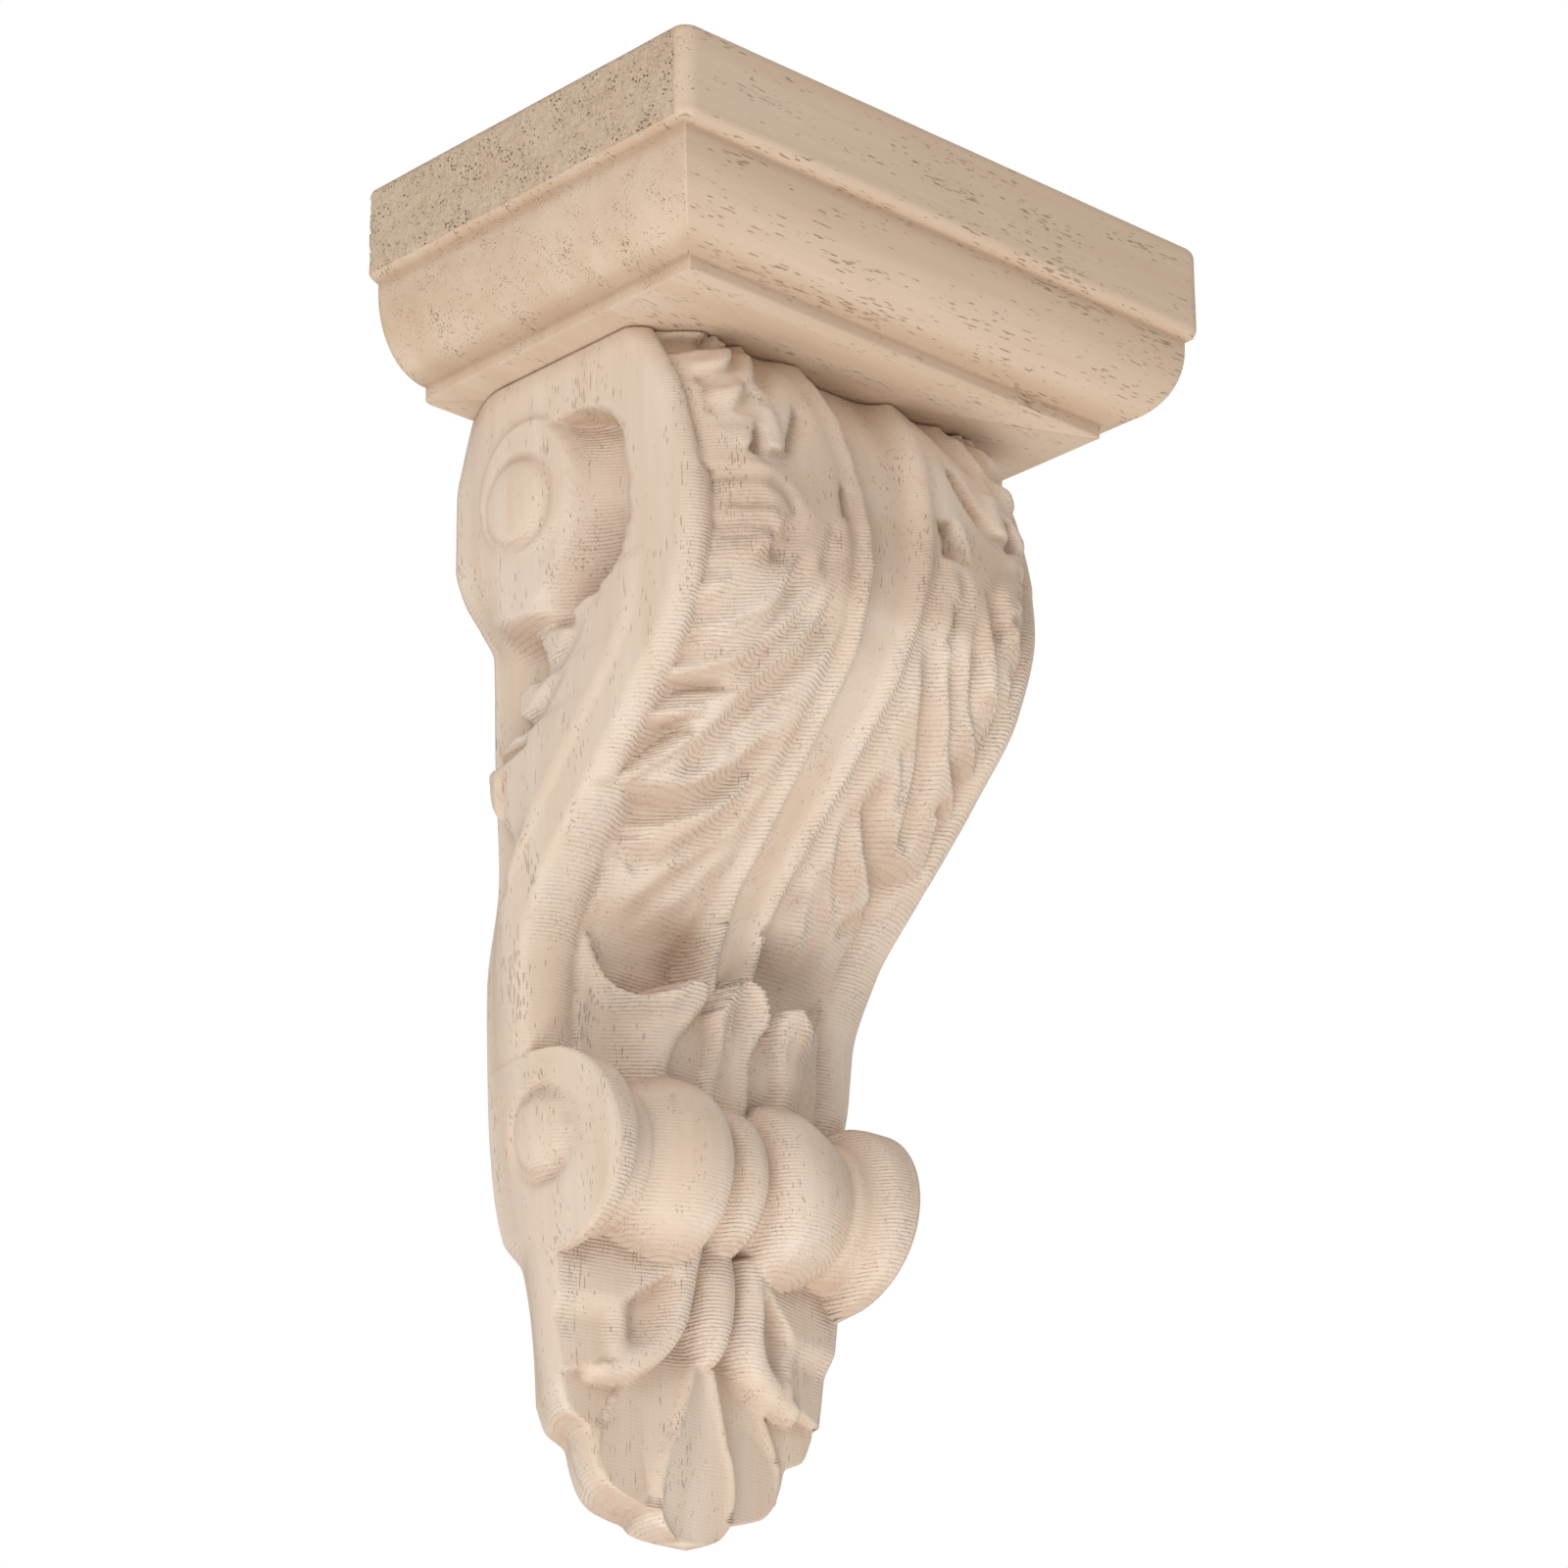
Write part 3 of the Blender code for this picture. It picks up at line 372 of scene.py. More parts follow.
def rollDepth(x, level):
    radius = curve(rollShape["outline"], x)
    height = radius**2 - (level - rollShape["level"]) ** 2
    return np.where(height > 0, rollShape["depth"] + np.sqrt(np.maximum(height, 0)), 0)


def leafletDepth(x, level):
    # the three curled leaflets that come out from under the roll
    s = leafletShape
    cx, cy, halfWidth, halfLength = s["middle"]
    share = np.hypot((x - cx) / halfWidth, (level - cy) / halfLength)
    dome = s["middleDepth"] - s["middleRound"] * (1 - np.sqrt(np.maximum(1 - share * share, 0)))
    middle = np.where(share < 1, dome, 0)
    gap, along, hand = nearLine(s["ridge"], x, level)
    crest = curve(s["ridgeDepth"], along)
    drop = s["flankDrop"] * (1 - np.sqrt(1 - np.clip(gap / s["flank"], 0, 1) ** 2))
    flank = np.where(gap < s["flank"], crest - drop, 0)
    band = curve(s["band"], x)
    band = band - s["outerDrop"] * ease((level - s["outerFoot"]) / 4.5) * ease((x - 15) / 4)
    top = curve(s["bowlTop"], x)
    bowl = s["bowl"] * ease(gap / 3) * ease((level - top) / 2.4) * ease((s["bowlOuter"] - x) / 4.5)
    seam = s["seam"] * np.exp(-(gap / s["seamWidth"]) ** 2) * (hand > 0)
    body = np.minimum(band, crest + 0.4 * gap) - bowl - seam
    inside = np.where(hand < 0, body, flank)
    side = np.where((level > s["top"]) & (level < s["end"]), inside, 0)
    return np.maximum(middle, side)


def tipDepth(x, level):
    s = tipShape
    depth = curve(s["face"], level) - s["crown"] * x**2
    inner = 0 * x
    for name, step, hollow in zip(("middle", "second"), s["steps"], s["hollow"]):
        line = curve(s[name], level)
        depth = depth - step * ease((x - line) / s["stepWidth"] + 0.5)
        share = np.clip((x - inner) / np.maximum(line - inner, 0.1), 0, 1)
        dish = np.cos(math.pi / 2 * share) if name == "middle" else np.sin(math.pi * share)
        depth = depth - np.where(x < line, hollow * dish, 0)
        depth = depth + s["rim"] * np.exp(-((x - line + 0.6) / 0.6) ** 2)
        inner = line
    above = curve(s["thirdTop"], x) - level
    depth = depth - s["third"] * ease(above / 1.2 + 0.3) * ease((x - 7) / 3)
    return np.where(level > s["top"], depth, 0)


def frontDepth(across, level, right):
    # depth of the carved front from the wall; right says which half of the carving it is
    s = bodyShape
    x = np.abs(across)
    half = frontHalf(level)
    edge = curve(s["edgeDepth"], level)
    leafEdge = curve(leafShape["half"], level)
    share = np.clip((half - x) / np.maximum(half - leafEdge, 1), 0, 1.2)
    swell = s["swell"] * np.sin(math.pi * s["swellTurn"] * share)
    ground = edge + swell * ease((s["swellEnd"] - level) / 3)
    line = s["line"] * np.exp(-((x - leafEdge) / s["lineWidth"]) ** 2)
    ground = ground - line * (level < leafShape["end"])
    ground = ground - s["corner"] * ease(1 - (half - x) / s["cornerWidth"])
    forms = (leafDepth(x, level, edge, ground, right), calyxDepth(x, level), rollDepth(x, level),
             leafletDepth(x, level), tipDepth(x, level))
    for form in forms:
        ground = np.maximum(ground, form)
    return ground


def sideHalf(depth, level):
    # half-width of the carved side at a depth from the wall
    s = voluteShape
    outer = frontHalf(level)
    wall = backHalf(level)
    share = np.clip(depth / bodyShape["bevel"], 0, 1)
    face = wall + (outer - wall) * ease(0.5 * share + 0.5 * np.sqrt(share))

    x, y = depth - s["depth"], level - s["level"]
    reach = np.hypot(x, y)
    turn = np.degrees(np.arctan2(y, x))
    rim, crest = curve(s["rim"], turn), curve(s["crest"], turn)
    ramp = np.clip((reach - rim) / (s["wallShare"] * (crest - rim)), 0, 1)
    lip = ease((crest - reach) / s["lip"])
    sink = curve(s["sink"], turn)
    step = s["discWall"] * ease((reach - rim) / 0.7) * np.clip(sink / 4, 0, 1)
    groove = (sink * (1 - (1 - ramp) ** s["wallCurve"]) + step) * lip
    cx, cy, radius, rise, soft = s["disc"]
    disc = rise * ease((radius - np.hypot(depth - cx, level - cy)) / soft)
    cx, cy, radius, rise = s["boss"]
    away = np.hypot(depth - cx, level - cy)
    boss = rise * np.sqrt(np.clip(1 - (away / radius) ** 2, 0, 1))
    boss = boss - s["bossFoot"] * np.exp(-((away - radius - 0.3) / 0.8) ** 2)
    volute = face - groove + disc + boss

    inner = curve(bodyShape["edgeDepth"], level) - curve(bodyShape["bandWidth"], level)
    leafEdge = curve(s["leafEdge"], level)
    shelf = s["leafStep"] * ease((depth - leafEdge) / s["leafEdgeWidth"])
    climb = np.clip((depth - leafEdge) / np.maximum(inner - leafEdge, 1), 0, 1) ** 0.9
    ground = wall + ease(depth / 6) + shelf + (outer - s["leafDrop"] - wall - s["leafStep"]) * climb
    ground = ground + s["leafSwell"] * np.sin(math.pi * climb)
    for points, width, deep, flare, fade, flat in s["hollows"]:
        ground = ground - pocket(points, depth, level, width, deep, flare, fade, flat)
    for points, width, deep, flare, fade in s["valleys"]:
        ground = ground - gouge(points, depth, level, width, deep, flare, fade)
    recess = ground + (outer - ground) * ease((depth - inner) / bodyShape["bandWall"])
    low = ease((level - s["recessEnd"][0]) / (s["recessEnd"][1] - s["recessEnd"][0]))
    below = recess * (1 - low) + face * low
    under = ease((level - curve(s["foot"], depth)) / curve(s["footSlope"], depth))
    side = volute * (1 - under) + below * under

    r = rollShape
    reach = np.hypot(depth - r["eyeAt"][0], level - r["eyeAt"][1])
    ring = np.exp(-((reach - r["ringAt"]) / r["ringWidth"]) ** 2)
    eye = np.sqrt(np.clip(1 - (reach / r["eye"]) ** 2, 0, 1))
    return side - r["ring"] * ring + r["eyeRise"] * eye


def carvedBody():
    s = bodyShape
    rows, bottom = s["rows"], s["top"] + s["height"]
    level = np.linspace(s["top"], bottom, rows)
    lift = curve(s["lift"], level)  # the foot curls off the wall
    wings = []
    for right in (False, True):
        corner = frontHalf(level)
        for _ in range(5):  # where the side meets the front
            edge = frontDepth(corner, level, right)
            corner = sideHalf(edge, level)
        inner = curve(s["edgeDepth"], level) - curve(s["bandWidth"], level)
        inner = np.clip(inner, 0.45 * edge, 0.82 * edge)
        hollow = (inner - s["bandWall"])[:, None] * np.linspace(0, 1, s["sideColumns"] + 1) ** 1.1
        band = inner[:, None] + (edge - inner)[:, None] * np.linspace(0, 1, s["bandColumns"] + 1)
        depths = np.concatenate((hollow, band), axis=1)
        depths = lift[:, None] + depths * (1 - lift / edge)[:, None]
        levels = np.repeat(level[:, None], depths.shape[1], axis=1)
        widths = sideHalf(depths, levels)
        widths[:, -1] = corner
        across = corner[:, None] * np.linspace(0, 1, s["frontColumns"] + 1)
        fronts = frontDepth(across, np.repeat(level[:, None], across.shape[1], axis=1), right)
        fronts[:, -1] = edge
        wings.append((widths, depths, across, fronts))
    (leftW, leftD, leftX, leftF), (rightW, rightD, rightX, rightF) = wings
    span = np.linspace(0, 1, s["wallColumns"] + 1)[1:-1]
    wall = rightW[:, :1] - (rightW[:, :1] + leftW[:, :1]) * span
    ringX = np.concatenate((-leftW, -leftX[:, -2::-1], rightX[:, 1:], rightW[:, -2::-1], wall), axis=1)
    ringD = np.concatenate((leftD, leftF[:, -2::-1], rightF[:, 1:], rightD[:, -2::-1],
                            lift[:, None] + 0 * wall), axis=1)
    ringL = np.repeat(level[:, None], ringX.shape[1], axis=1)
    return ringX, ringD, ringL


def skin(name, ringX, ringD, ringL):
    # joins the level rings into one closed mesh
    rows, columns = ringX.shape
    points = np.stack((ringX * mm, -ringD * mm, capTop - ringL * mm), axis=2).reshape(-1, 3)
    ends = np.array((points[:columns].mean(axis=0), points[-columns:].mean(axis=0)))
    points = np.concatenate((points, ends))
    a = (np.arange(rows - 1)[:, None] * columns + np.arange(columns)).ravel()
    b = (np.arange(rows - 1)[:, None] * columns + (np.arange(columns) + 1) % columns).ravel()
    faces = [tuple(f) for f in np.stack((a, a + columns, b + columns, b), axis=1).tolist()]
    top, low, last = rows * columns, rows * columns + 1, (rows - 1) * columns
    faces += [(k, (k + 1) % columns, top) for k in range(columns)]
    faces += [(last + (k + 1) % columns, last + k, low) for k in range(columns)]
    mesh = bpy.data.meshes.new(name)
    mesh.from_pydata(points.tolist(), [], faces)
    mesh.update()
    mesh.shade_smooth()
    piece = bpy.data.objects.new(name, mesh)
    bpy.context.scene.collection.objects.link(piece)
    return piece


def markFaces(piece, name, values):
    # a value for each point of the rings, and none for the two end points
    mark = piece.data.attributes.new(name, "FLOAT", "POINT")
    mark.data.foreach_set("value", np.append(values, (0, 0)).astype(np.float32))


def meshNormals(piece):
    normals = np.empty(len(piece.data.vertices) * 3, dtype=np.float32)
    piece.data.vertices.foreach_get("normal", normals)
    return normals.reshape(-1, 3)


def softened(grid, reach):
    # the grid averaged over a square of 2 * reach + 1 points
    padded = np.pad(grid, reach, mode="edge")
    total = np.cumsum(np.cumsum(np.pad(padded, ((1, 0), (1, 0))), axis=0), axis=1)
    n = 2 * reach + 1
    return (total[n:, n:] - total[:-n, n:] - total[n:, :-n] + total[:-n, :-n]) / (n * n)


camera = {
    # fitted to the cap's edges; the lens comes from a focal length in pixels of the picture
    "azimuth": -43.373, "elevation": -21.382, "roll": -0.416,
    "distance": 0.83554, "shiftX": 0.023535, "shiftY": -0.076311, "lens": 5435.7 / 1600 * 36, "sensor": 36,
}


def makeCamera():
    c = camera
    a, e, roll = (math.radians(c[name]) for name in ("azimuth", "elevation", "roll"))
    back = Vector((math.sin(a) * math.cos(e), -math.cos(a) * math.cos(e), math.sin(e)))
    right = Vector((math.cos(a), math.sin(a), 0))
    up = back.cross(right)
    turnedRight = math.cos(roll) * right + math.sin(roll) * up
    turnedUp = -math.sin(roll) * right + math.cos(roll) * up
    spot = (c["shiftX"] * turnedRight + c["shiftY"] * turnedUp + c["distance"] * back
            + Vector((0, 0, capTop)))
    data = bpy.data.cameras.new("studioCamera")
    data.sensor_width = c["sensor"]
    data.lens = c["lens"]
    data.clip_start = 0.01
    eye = bpy.data.objects.new("studioCamera", data)
    eye.matrix_world = Matrix.Translation(spot) @ Matrix((turnedRight, turnedUp, back)).transposed().to_4x4()
    bpy.context.scene.collection.objects.link(eye)
    bpy.context.scene.camera = eye


studio = {
    # each lamp: place, size, power
    "lamps": {"key": ((-1.3, -0.65, 0.45), 0.7, 5.2), "low": ((-0.7, -0.45, -1.15), 0.7, 8.0),
              "under": ((0.3, -0.12, -1.3), 0.7, 4.2)},
    "aim": (0, -0.03, 0), "ambient": 0.59, "ambientColour": (1, 0.985, 0.97, 1),
    "floor": -1.6, "floorHalf": 4.0, "floorColour": (0.9, 0.9, 0.89, 1), "floorRoughness": 0.9,
}


def makeStudio():
    scene = bpy.context.scene
    for name, (spot, size, power) in studio["lamps"].items():
        light = bpy.data.lights.new(name, "AREA")
        light.size = size
        light.energy = power
        lamp = bpy.data.objects.new(name, light)
        lamp.location = spot
        lamp.rotation_euler = (Vector(studio["aim"]) - Vector(spot)).to_track_quat("-Z", "Y").to_euler()
        scene.collection.objects.link(lamp)
    world = bpy.data.worlds.new("paleRoom")
    scene.world = world
    world.use_nodes = True
    tree = world.node_tree
    soft = tree.nodes["Background"]
    soft.inputs["Color"].default_value = studio["ambientColour"]
    soft.inputs["Strength"].default_value = studio["ambient"]
    seen = add(tree, "ShaderNodeBackground", None, Color=(1, 1, 1, 1), Strength=1.0)
    path = add(tree, "ShaderNodeLightPath")
    mix = add(tree, "ShaderNodeMixShader", None, i0=path.outputs["Is Camera Ray"], i1=soft.outputs[0],
              i2=seen.outputs[0])
    feed(tree, tree.nodes["World Output"].inputs["Surface"], mix.outputs[0])
    scene.view_settings.view_transform = "Standard"

    mesh = bpy.data.meshes.new("floor")
    r, z = studio["floorHalf"], studio["floor"]
    mesh.from_pydata([(-r, -r, z), (r, -r, z), (r, r, z), (-r, r, z)], [], [(0, 1, 2, 3)])
    floor = bpy.data.objects.new("floor", mesh)
    paper, _, shader = newMaterial("paleFloor")
    shader.inputs["Base Color"].default_value = studio["floorColour"]
    shader.inputs["Roughness"].default_value = studio["floorRoughness"]
    mesh.materials.append(paper)
    scene.collection.objects.link(floor)


def newMaterial(name):
    material = bpy.data.materials.new(name)
    material.use_nodes = True
    return material, material.node_tree, material.node_tree.nodes["Principled BSDF"]


def newGroup(name, values, outputs):
    # takes a Vector and the named values, and gives the named outputs
    group = bpy.data.node_groups.new(name, "ShaderNodeTree")
    group.interface.new_socket(name="Vector", in_out="INPUT", socket_type="NodeSocketVector")
    for label, value in values.items():
        socket = group.interface.new_socket(name=label, in_out="INPUT", socket_type="NodeSocketFloat")
        socket.default_value = value
    for label in outputs:
        group.interface.new_socket(name=label, in_out="OUTPUT", socket_type="NodeSocketFloat")
    return group, group.nodes.new("NodeGroupInput").outputs, group.nodes.new("NodeGroupOutput").inputs


def feed(tree, socket, value):
    # another node's output is linked, any other value is set
    if isinstance(value, bpy.types.NodeSocket):
        tree.links.new(value, socket)
    else:
        socket.default_value = value


def add(tree, kind, settings=None, **inputs):
    node = tree.nodes.new(kind)
    for key, value in (settings or {}).items():
        setattr(node, key, value)
    for key, value in inputs.items():
        numbered = key[0] == "i" and key[1:].isdigit()
        feed(tree, node.inputs[int(key[1:]) if numbered else key], value)
    return node


def useGroup(tree, name, **inputs):
    return add(tree, "ShaderNodeGroup", {"node_tree": groups[name]}, **inputs).outputs


def maths(tree, operation, a, b=0.0):
    return add(tree, "ShaderNodeMath", {"operation": operation}, i0=a, i1=b).outputs[0]


def times(tree, a, b):
    return maths(tree, "MULTIPLY", a, b)


def minus(tree, a, b):
    return maths(tree, "SUBTRACT", a, b)


def larger(tree, a, b):
    return maths(tree, "MAXIMUM", a, b)


def spread(tree, value, low, high, toLow=0.0, toHigh=1.0):
    node = add(tree, "ShaderNodeMapRange", None, i0=value, i1=low, i2=high, i3=toLow, i4=toHigh)
    return node.outputs[0]


def mixColour(tree, share, a, b):
    return add(tree, "ShaderNodeMix", {"data_type": "RGBA"}, i0=share, i6=a, i7=b).outputs[2]


def painted(tree, name):
    # a value that the mesh carries at its points
    return add(tree, "ShaderNodeAttribute", {"attribute_name": name}).outputs["Fac"]


def noiseIn(tree, vector, scale, detail, roughness=0.5):
    return add(tree, "ShaderNodeTexNoise", None, Vector=vector, Scale=scale, Detail=detail,
               Roughness=roughness).outputs["Fac"]


def seededNoise(tree, start, stretch, detail, roughness):
    # noise stretched by each axis's own scale, its fourth dimension the group's seed
    spot = add(tree, "ShaderNodeVectorMath", {"operation": "MULTIPLY"}, i0=start["Vector"], i1=stretch)
    return add(tree, "ShaderNodeTexNoise", {"noise_dimensions": "4D"}, Vector=spot.outputs[0],
               W=start["Seed"], Scale=1.0, Detail=detail, Roughness=roughness).outputs["Fac"]


# settings of the wood's node groups; stretches are noise cells per metre, with the grain along Z
grainLook = {"bands": (150, 150, 12), "fibres": (2600, 2600, 70)}
poreLook = {"dashes": (4200, 4200, 430), "patches": (300, 300, 60), "least": 0.80, "gain": 0.14,
            "crowding": 0.5, "crispness": 14.0}
cutterLook = {"wanderScale": 160.0, "wander": 0.5, "tornScale": 1500.0, "torn": (0.32, 0.62, 0.35, 1.0),
              "crown": 0.6, "valley": 1.6, "tears": (0.62, 0.72)}
endLook = {"strawScale": 2300.0, "pitScale": 1500.0, "pit": (0.32, 0.12), "patchScale": 260.0,
           "patch": (0.42, 0.62)}


def grainGroup():
    # figure of the timber: broad bands and fine fibres
    tree, start, end = newGroup("timberGrain", {"Seed": 0.0}, ("Bands", "Fibres"))
    feed(tree, end["Bands"], seededNoise(tree, start, grainLook["bands"], 3.0, 0.6))
    feed(tree, end["Fibres"], seededNoise(tree, start, grainLook["fibres"], 2.0, 0.6))
    return tree


def poreGroup():
    # short dark dashes where the saw opened the vessels
    p = poreLook
    tree, start, end = newGroup("openPores", {"Amount": 0.5, "Seed": 0.0}, ("Pores",))
    dashes = seededNoise(tree, start, p["dashes"], 1.0, 0.4)
    patches = seededNoise(tree, start, p["patches"], 2.0, 0.5)
    low = minus(tree, p["least"], times(tree, start["Amount"], p["gain"]))
    low = minus(tree, low, times(tree, minus(tree, patches, 0.5), p["crowding"]))
    mask = times(tree, minus(tree, dashes, low), p["crispness"])
    feed(tree, end["Pores"], add(tree, "ShaderNodeClamp", None, Value=mask).outputs[0])
    return tree


def cutterGroup():
    # scallops left by the carving cutter's level passes, a little torn, with painted shade in the valleys
    # between them; the pitch is in millimetres
    c = cutterLook
    tree, start, end = newGroup("cutterMarks", {"Pitch": 0.55, "Amount": 0.5}, ("Height", "ValleyShade", "Tears"))
    parts = add(tree, "ShaderNodeSeparateXYZ", None, Vector=start["Vector"])
    wander = noiseIn(tree, start["Vector"], c["wanderScale"], 2.0)
    shaken = maths(tree, "ADD", times(tree, parts.outputs["Z"], 1000.0), times(tree, wander, c["wander"]))
    phase = maths(tree, "DIVIDE", shaken, start["Pitch"])
    ridge = maths(tree, "ABSOLUTE", maths(tree, "SINE", times(tree, phase, math.pi)))
    rough = noiseIn(tree, start["Vector"], c["tornScale"], 2.0, 0.6)
    broken = spread(tree, rough, *c["torn"])
    scallop = maths(tree, "POWER", ridge, c["crown"])
    # painted shade: how far down each valley lies darkens it
    valley = maths(tree, "POWER", minus(tree, 1.0, ridge), c["valley"])
    tears = times(tree, spread(tree, rough, *c["tears"]), start["Amount"])
    feed(tree, end["Height"], times(tree, times(tree, scallop, broken), start["Amount"]))
    feed(tree, end["ValleyShade"], times(tree, times(tree, valley, broken), start["Amount"]))
    feed(tree, end["Tears"], times(tree, tears, spread(tree, ridge, 0.5, 0.1)))
    return tree


def endGroup():
    # sawn end grain: packed straws and dark pits
    e = endLook
    tree, start, end = newGroup("endGrain", {"Amount": 1.0}, ("Straw", "Pits"))
    straw = noiseIn(tree, start["Vector"], e["strawScale"], 3.0, 0.7)
    pits = add(tree, "ShaderNodeTexVoronoi", None, Vector=start["Vector"], Scale=e["pitScale"])
    patch = noiseIn(tree, start["Vector"], e["patchScale"], 3.0)
    deep = times(tree, spread(tree, pits.outputs["Distance"], *e["pit"]), spread(tree, patch, *e["patch"]))
    feed(tree, end["Straw"], times(tree, straw, start["Amount"]))
    feed(tree, end["Pits"], times(tree, deep, start["Amount"]))
    return tree


groups = {"grain": grainGroup(), "pores": poreGroup(), "cutter": cutterGroup(), "ends": endGroup()}
print("node groups ready")

carvedWood = {
    "pale": (0.79, 0.66, 0.54, 1), "warm": (0.72, 0.555, 0.415, 1), "rose": (0.82, 0.69, 0.58, 1),
    "pore": (0.34, 0.20, 0.12, 1), "shade": (0.50, 0.33, 0.22, 1),
    "bands": (0.35, 0.68), "fibres": (0.45, 0.75), "fibreTint": 0.28, "toolTint": 0.5, "valleyShadeTint": 0.45,
    "endTint": 0.5, "hollowShadeTint": 0.4, "poreTint": 0.5, "tearTint": 0.5, "pitTint": 0.4,
    "grainSeed": 1.7, "poreSeed": 4.2, "poreAmount": 0.75, "pitch": 0.55,
    "cutterHeight": 0.00019, "fibreHeight": 0.00005, "poreDepth": 0.00008,
    "roughness": 0.66,
}


def tinted(tree, m, grain, layers):
    # pale wood with its warm bands and fibres, then a share of a tint for each layer
    fibres = times(tree, spread(tree, grain["Fibres"], *m["fibres"]), m["fibreTint"])
    colour = mixColour(tree, spread(tree, grain["Bands"], *m["bands"]), m["pale"], m["warm"])
    for share, tint in ((fibres, "warm"), *layers):
        colour = mixColour(tree, share, colour, m[tint])
    return colour


def woodFinish(tree, shader, m, colour, height, fibres):
    feed(tree, shader.inputs["Base Color"], colour)
    relief = add(tree, "ShaderNodeBump", None, Height=height, Distance=1.0, Strength=1.0)
    feed(tree, shader.inputs["Normal"], relief.outputs[0])
    rough = spread(tree, fibres, 0.2, 0.8, m["roughness"] - 0.06, m["roughness"] + 0.1)
    feed(tree, shader.inputs["Roughness"], rough)


def carvedMaterial():
    m = carvedWood
    material, tree, shader = newMaterial("carvedWood")
    spot = add(tree, "ShaderNodeTexCoord").outputs["Object"]
    tool, hollow, endOn = painted(tree, "cutter"), painted(tree, "hollow"), painted(tree, "endOn")
    grain = useGroup(tree, "grain", Vector=spot, Seed=m["grainSeed"])
    pores = useGroup(tree, "pores", Vector=spot, Amount=m["poreAmount"], Seed=m["poreSeed"])["Pores"]
    marks = useGroup(tree, "cutter", Vector=spot, Pitch=m["pitch"], Amount=tool)
    pits = useGroup(tree, "ends", Vector=spot, Amount=endOn)["Pits"]

    tears, pits = times(tree, marks["Tears"], m["tearTint"]), times(tree, pits, m["pitTint"])
    dark = larger(tree, times(tree, pores, m["poreTint"]), larger(tree, tears, pits))
    # painted shade toward the shade colour in the cutter's valleys and in the hollows; where faces look up or
    # down, the end grain is darker wood
    colour = tinted(tree, m, grain, (
        (times(tree, tool, m["toolTint"]), "rose"), (times(tree, marks["ValleyShade"], m["valleyShadeTint"]), "shade"),
        (times(tree, endOn, m["endTint"]), "shade"), (times(tree, hollow, m["hollowShadeTint"]), "shade"),
        (dark, "pore")))

    height = times(tree, marks["Height"], m["cutterHeight"])
    height = maths(tree, "ADD", height, times(tree, grain["Fibres"], m["fibreHeight"]))
    height = minus(tree, height, times(tree, pores, m["poreDepth"]))
    woodFinish(tree, shader, m, colour, height, grain["Fibres"])
    return material


def noiseOf(places):
    return np.array([noise.noise(Vector(place)) for place in places])


bodyMarks = {
    # how strongly the cutter's marks show: on flat ground, on steep faces, on the strip by the leaf,
    # on the sides, in the channel and on the petals
    "least": 0.16, "steep": 0.3, "strip": 0.75, "side": 0.55, "channel": 0.06, "petals": 0.12,
    "topShare": 0.35, "topEnd": 56, "patchShare": 0.45, "patchScale": 0.16,
    # the last pair gives the levels where painted shade browns the foot of the volute's groove
    "sunkEnd": 104, "channelEnd": 119, "petalsTop": 176, "grooveShade": (50, 74),
}


def toolMarks(ringX, ringD, ringL, normals):
    # where the cutter's marks stay, and the painted shade that darkens the hollows; crowns and flat faces
    # were sanded
    m = bodyMarks
    up, sideways = np.abs(normals[:, :, 2]), np.abs(normals[:, :, 0])
    x = np.abs(ringX)
    half = frontHalf(ringL)
    front = (x < half - 0.6) & (ringD > curve(bodyShape["edgeDepth"], ringL) - 0.3)
    steep = softened(np.clip(ease((up - 0.12) / 0.5) + ease((sideways - 0.35) / 0.4) * 0.6, 0, 1), 2)
    places = np.stack((ringX, -ringD, -ringL), axis=2)
    patch = noiseOf(places.reshape(-1, 3) * m["patchScale"]).reshape(ringX.shape)
    across, down = np.gradient(ringD - softened(ringD, 8))[::-1]
    bank = ease((np.hypot(across, down) - 0.06) / 0.3)
    strip = ease((x - curve(leafShape["half"], ringL)) / 0.6 + 0.5)
    strip = strip * ease((half - x - 0.8) / 1.6) * (ringL < leafShape["end"])
    upper = m["topShare"] + (1 - m["topShare"]) * ease((ringL - m["topEnd"]) / 10)
    tool = (m["least"] + (1 - m["least"]) * np.maximum(softened(bank, 1), m["steep"] * steep)) * upper
    tool = np.maximum(tool, m["strip"] * strip)
    sunk = ease((half - x - 1.2) / 2.5) * ease((ringD - 6) / 4) * (ringL < m["sunkEnd"])
    side = np.maximum(m["side"] * ease((up - 0.25) / 0.4), sunk * (0.3 + 0.7 * ease(up / 0.3)))
    tool = np.where(front, tool, side)
    tool = tool * (m["patchShare"] + (1 - m["patchShare"]) * ease((patch + 0.6) / 0.7))
    channel = (x < curve(leafShape["rimHalf"], ringL) - 0.8) & (ringL < m["channelEnd"])
    tool = np.where(channel, m["channel"], tool)
    petals = (ringL > m["petalsTop"]) & front
    tool = np.where(petals, m["petals"] + 0.3 * ease((up - 0.5) / 0.3), tool)

    # painted shade: the recesses of the front and of the sides are darkened
    hollow = np.clip((softened(ringD, 7) - ringD) / 1.6, 0, 1) * front
    sideShade = np.clip((softened(x, 6) - x) / 1.4, 0, 1) * ~front
    # painted shade: the foot of the volute's groove is browned between these levels
    top, foot = m["grooveShade"]  # the foot of the volute's groove is browner
    grooveShade = sunk * ease((ringL - top) / 10) * ease((foot - ringL) / 5)
    hollow = np.maximum(hollow, np.maximum(sideShade, grooveShade))
    return softened(np.clip(tool, 0, 1), 1), hollow, ease((up - 0.6) / 0.35)


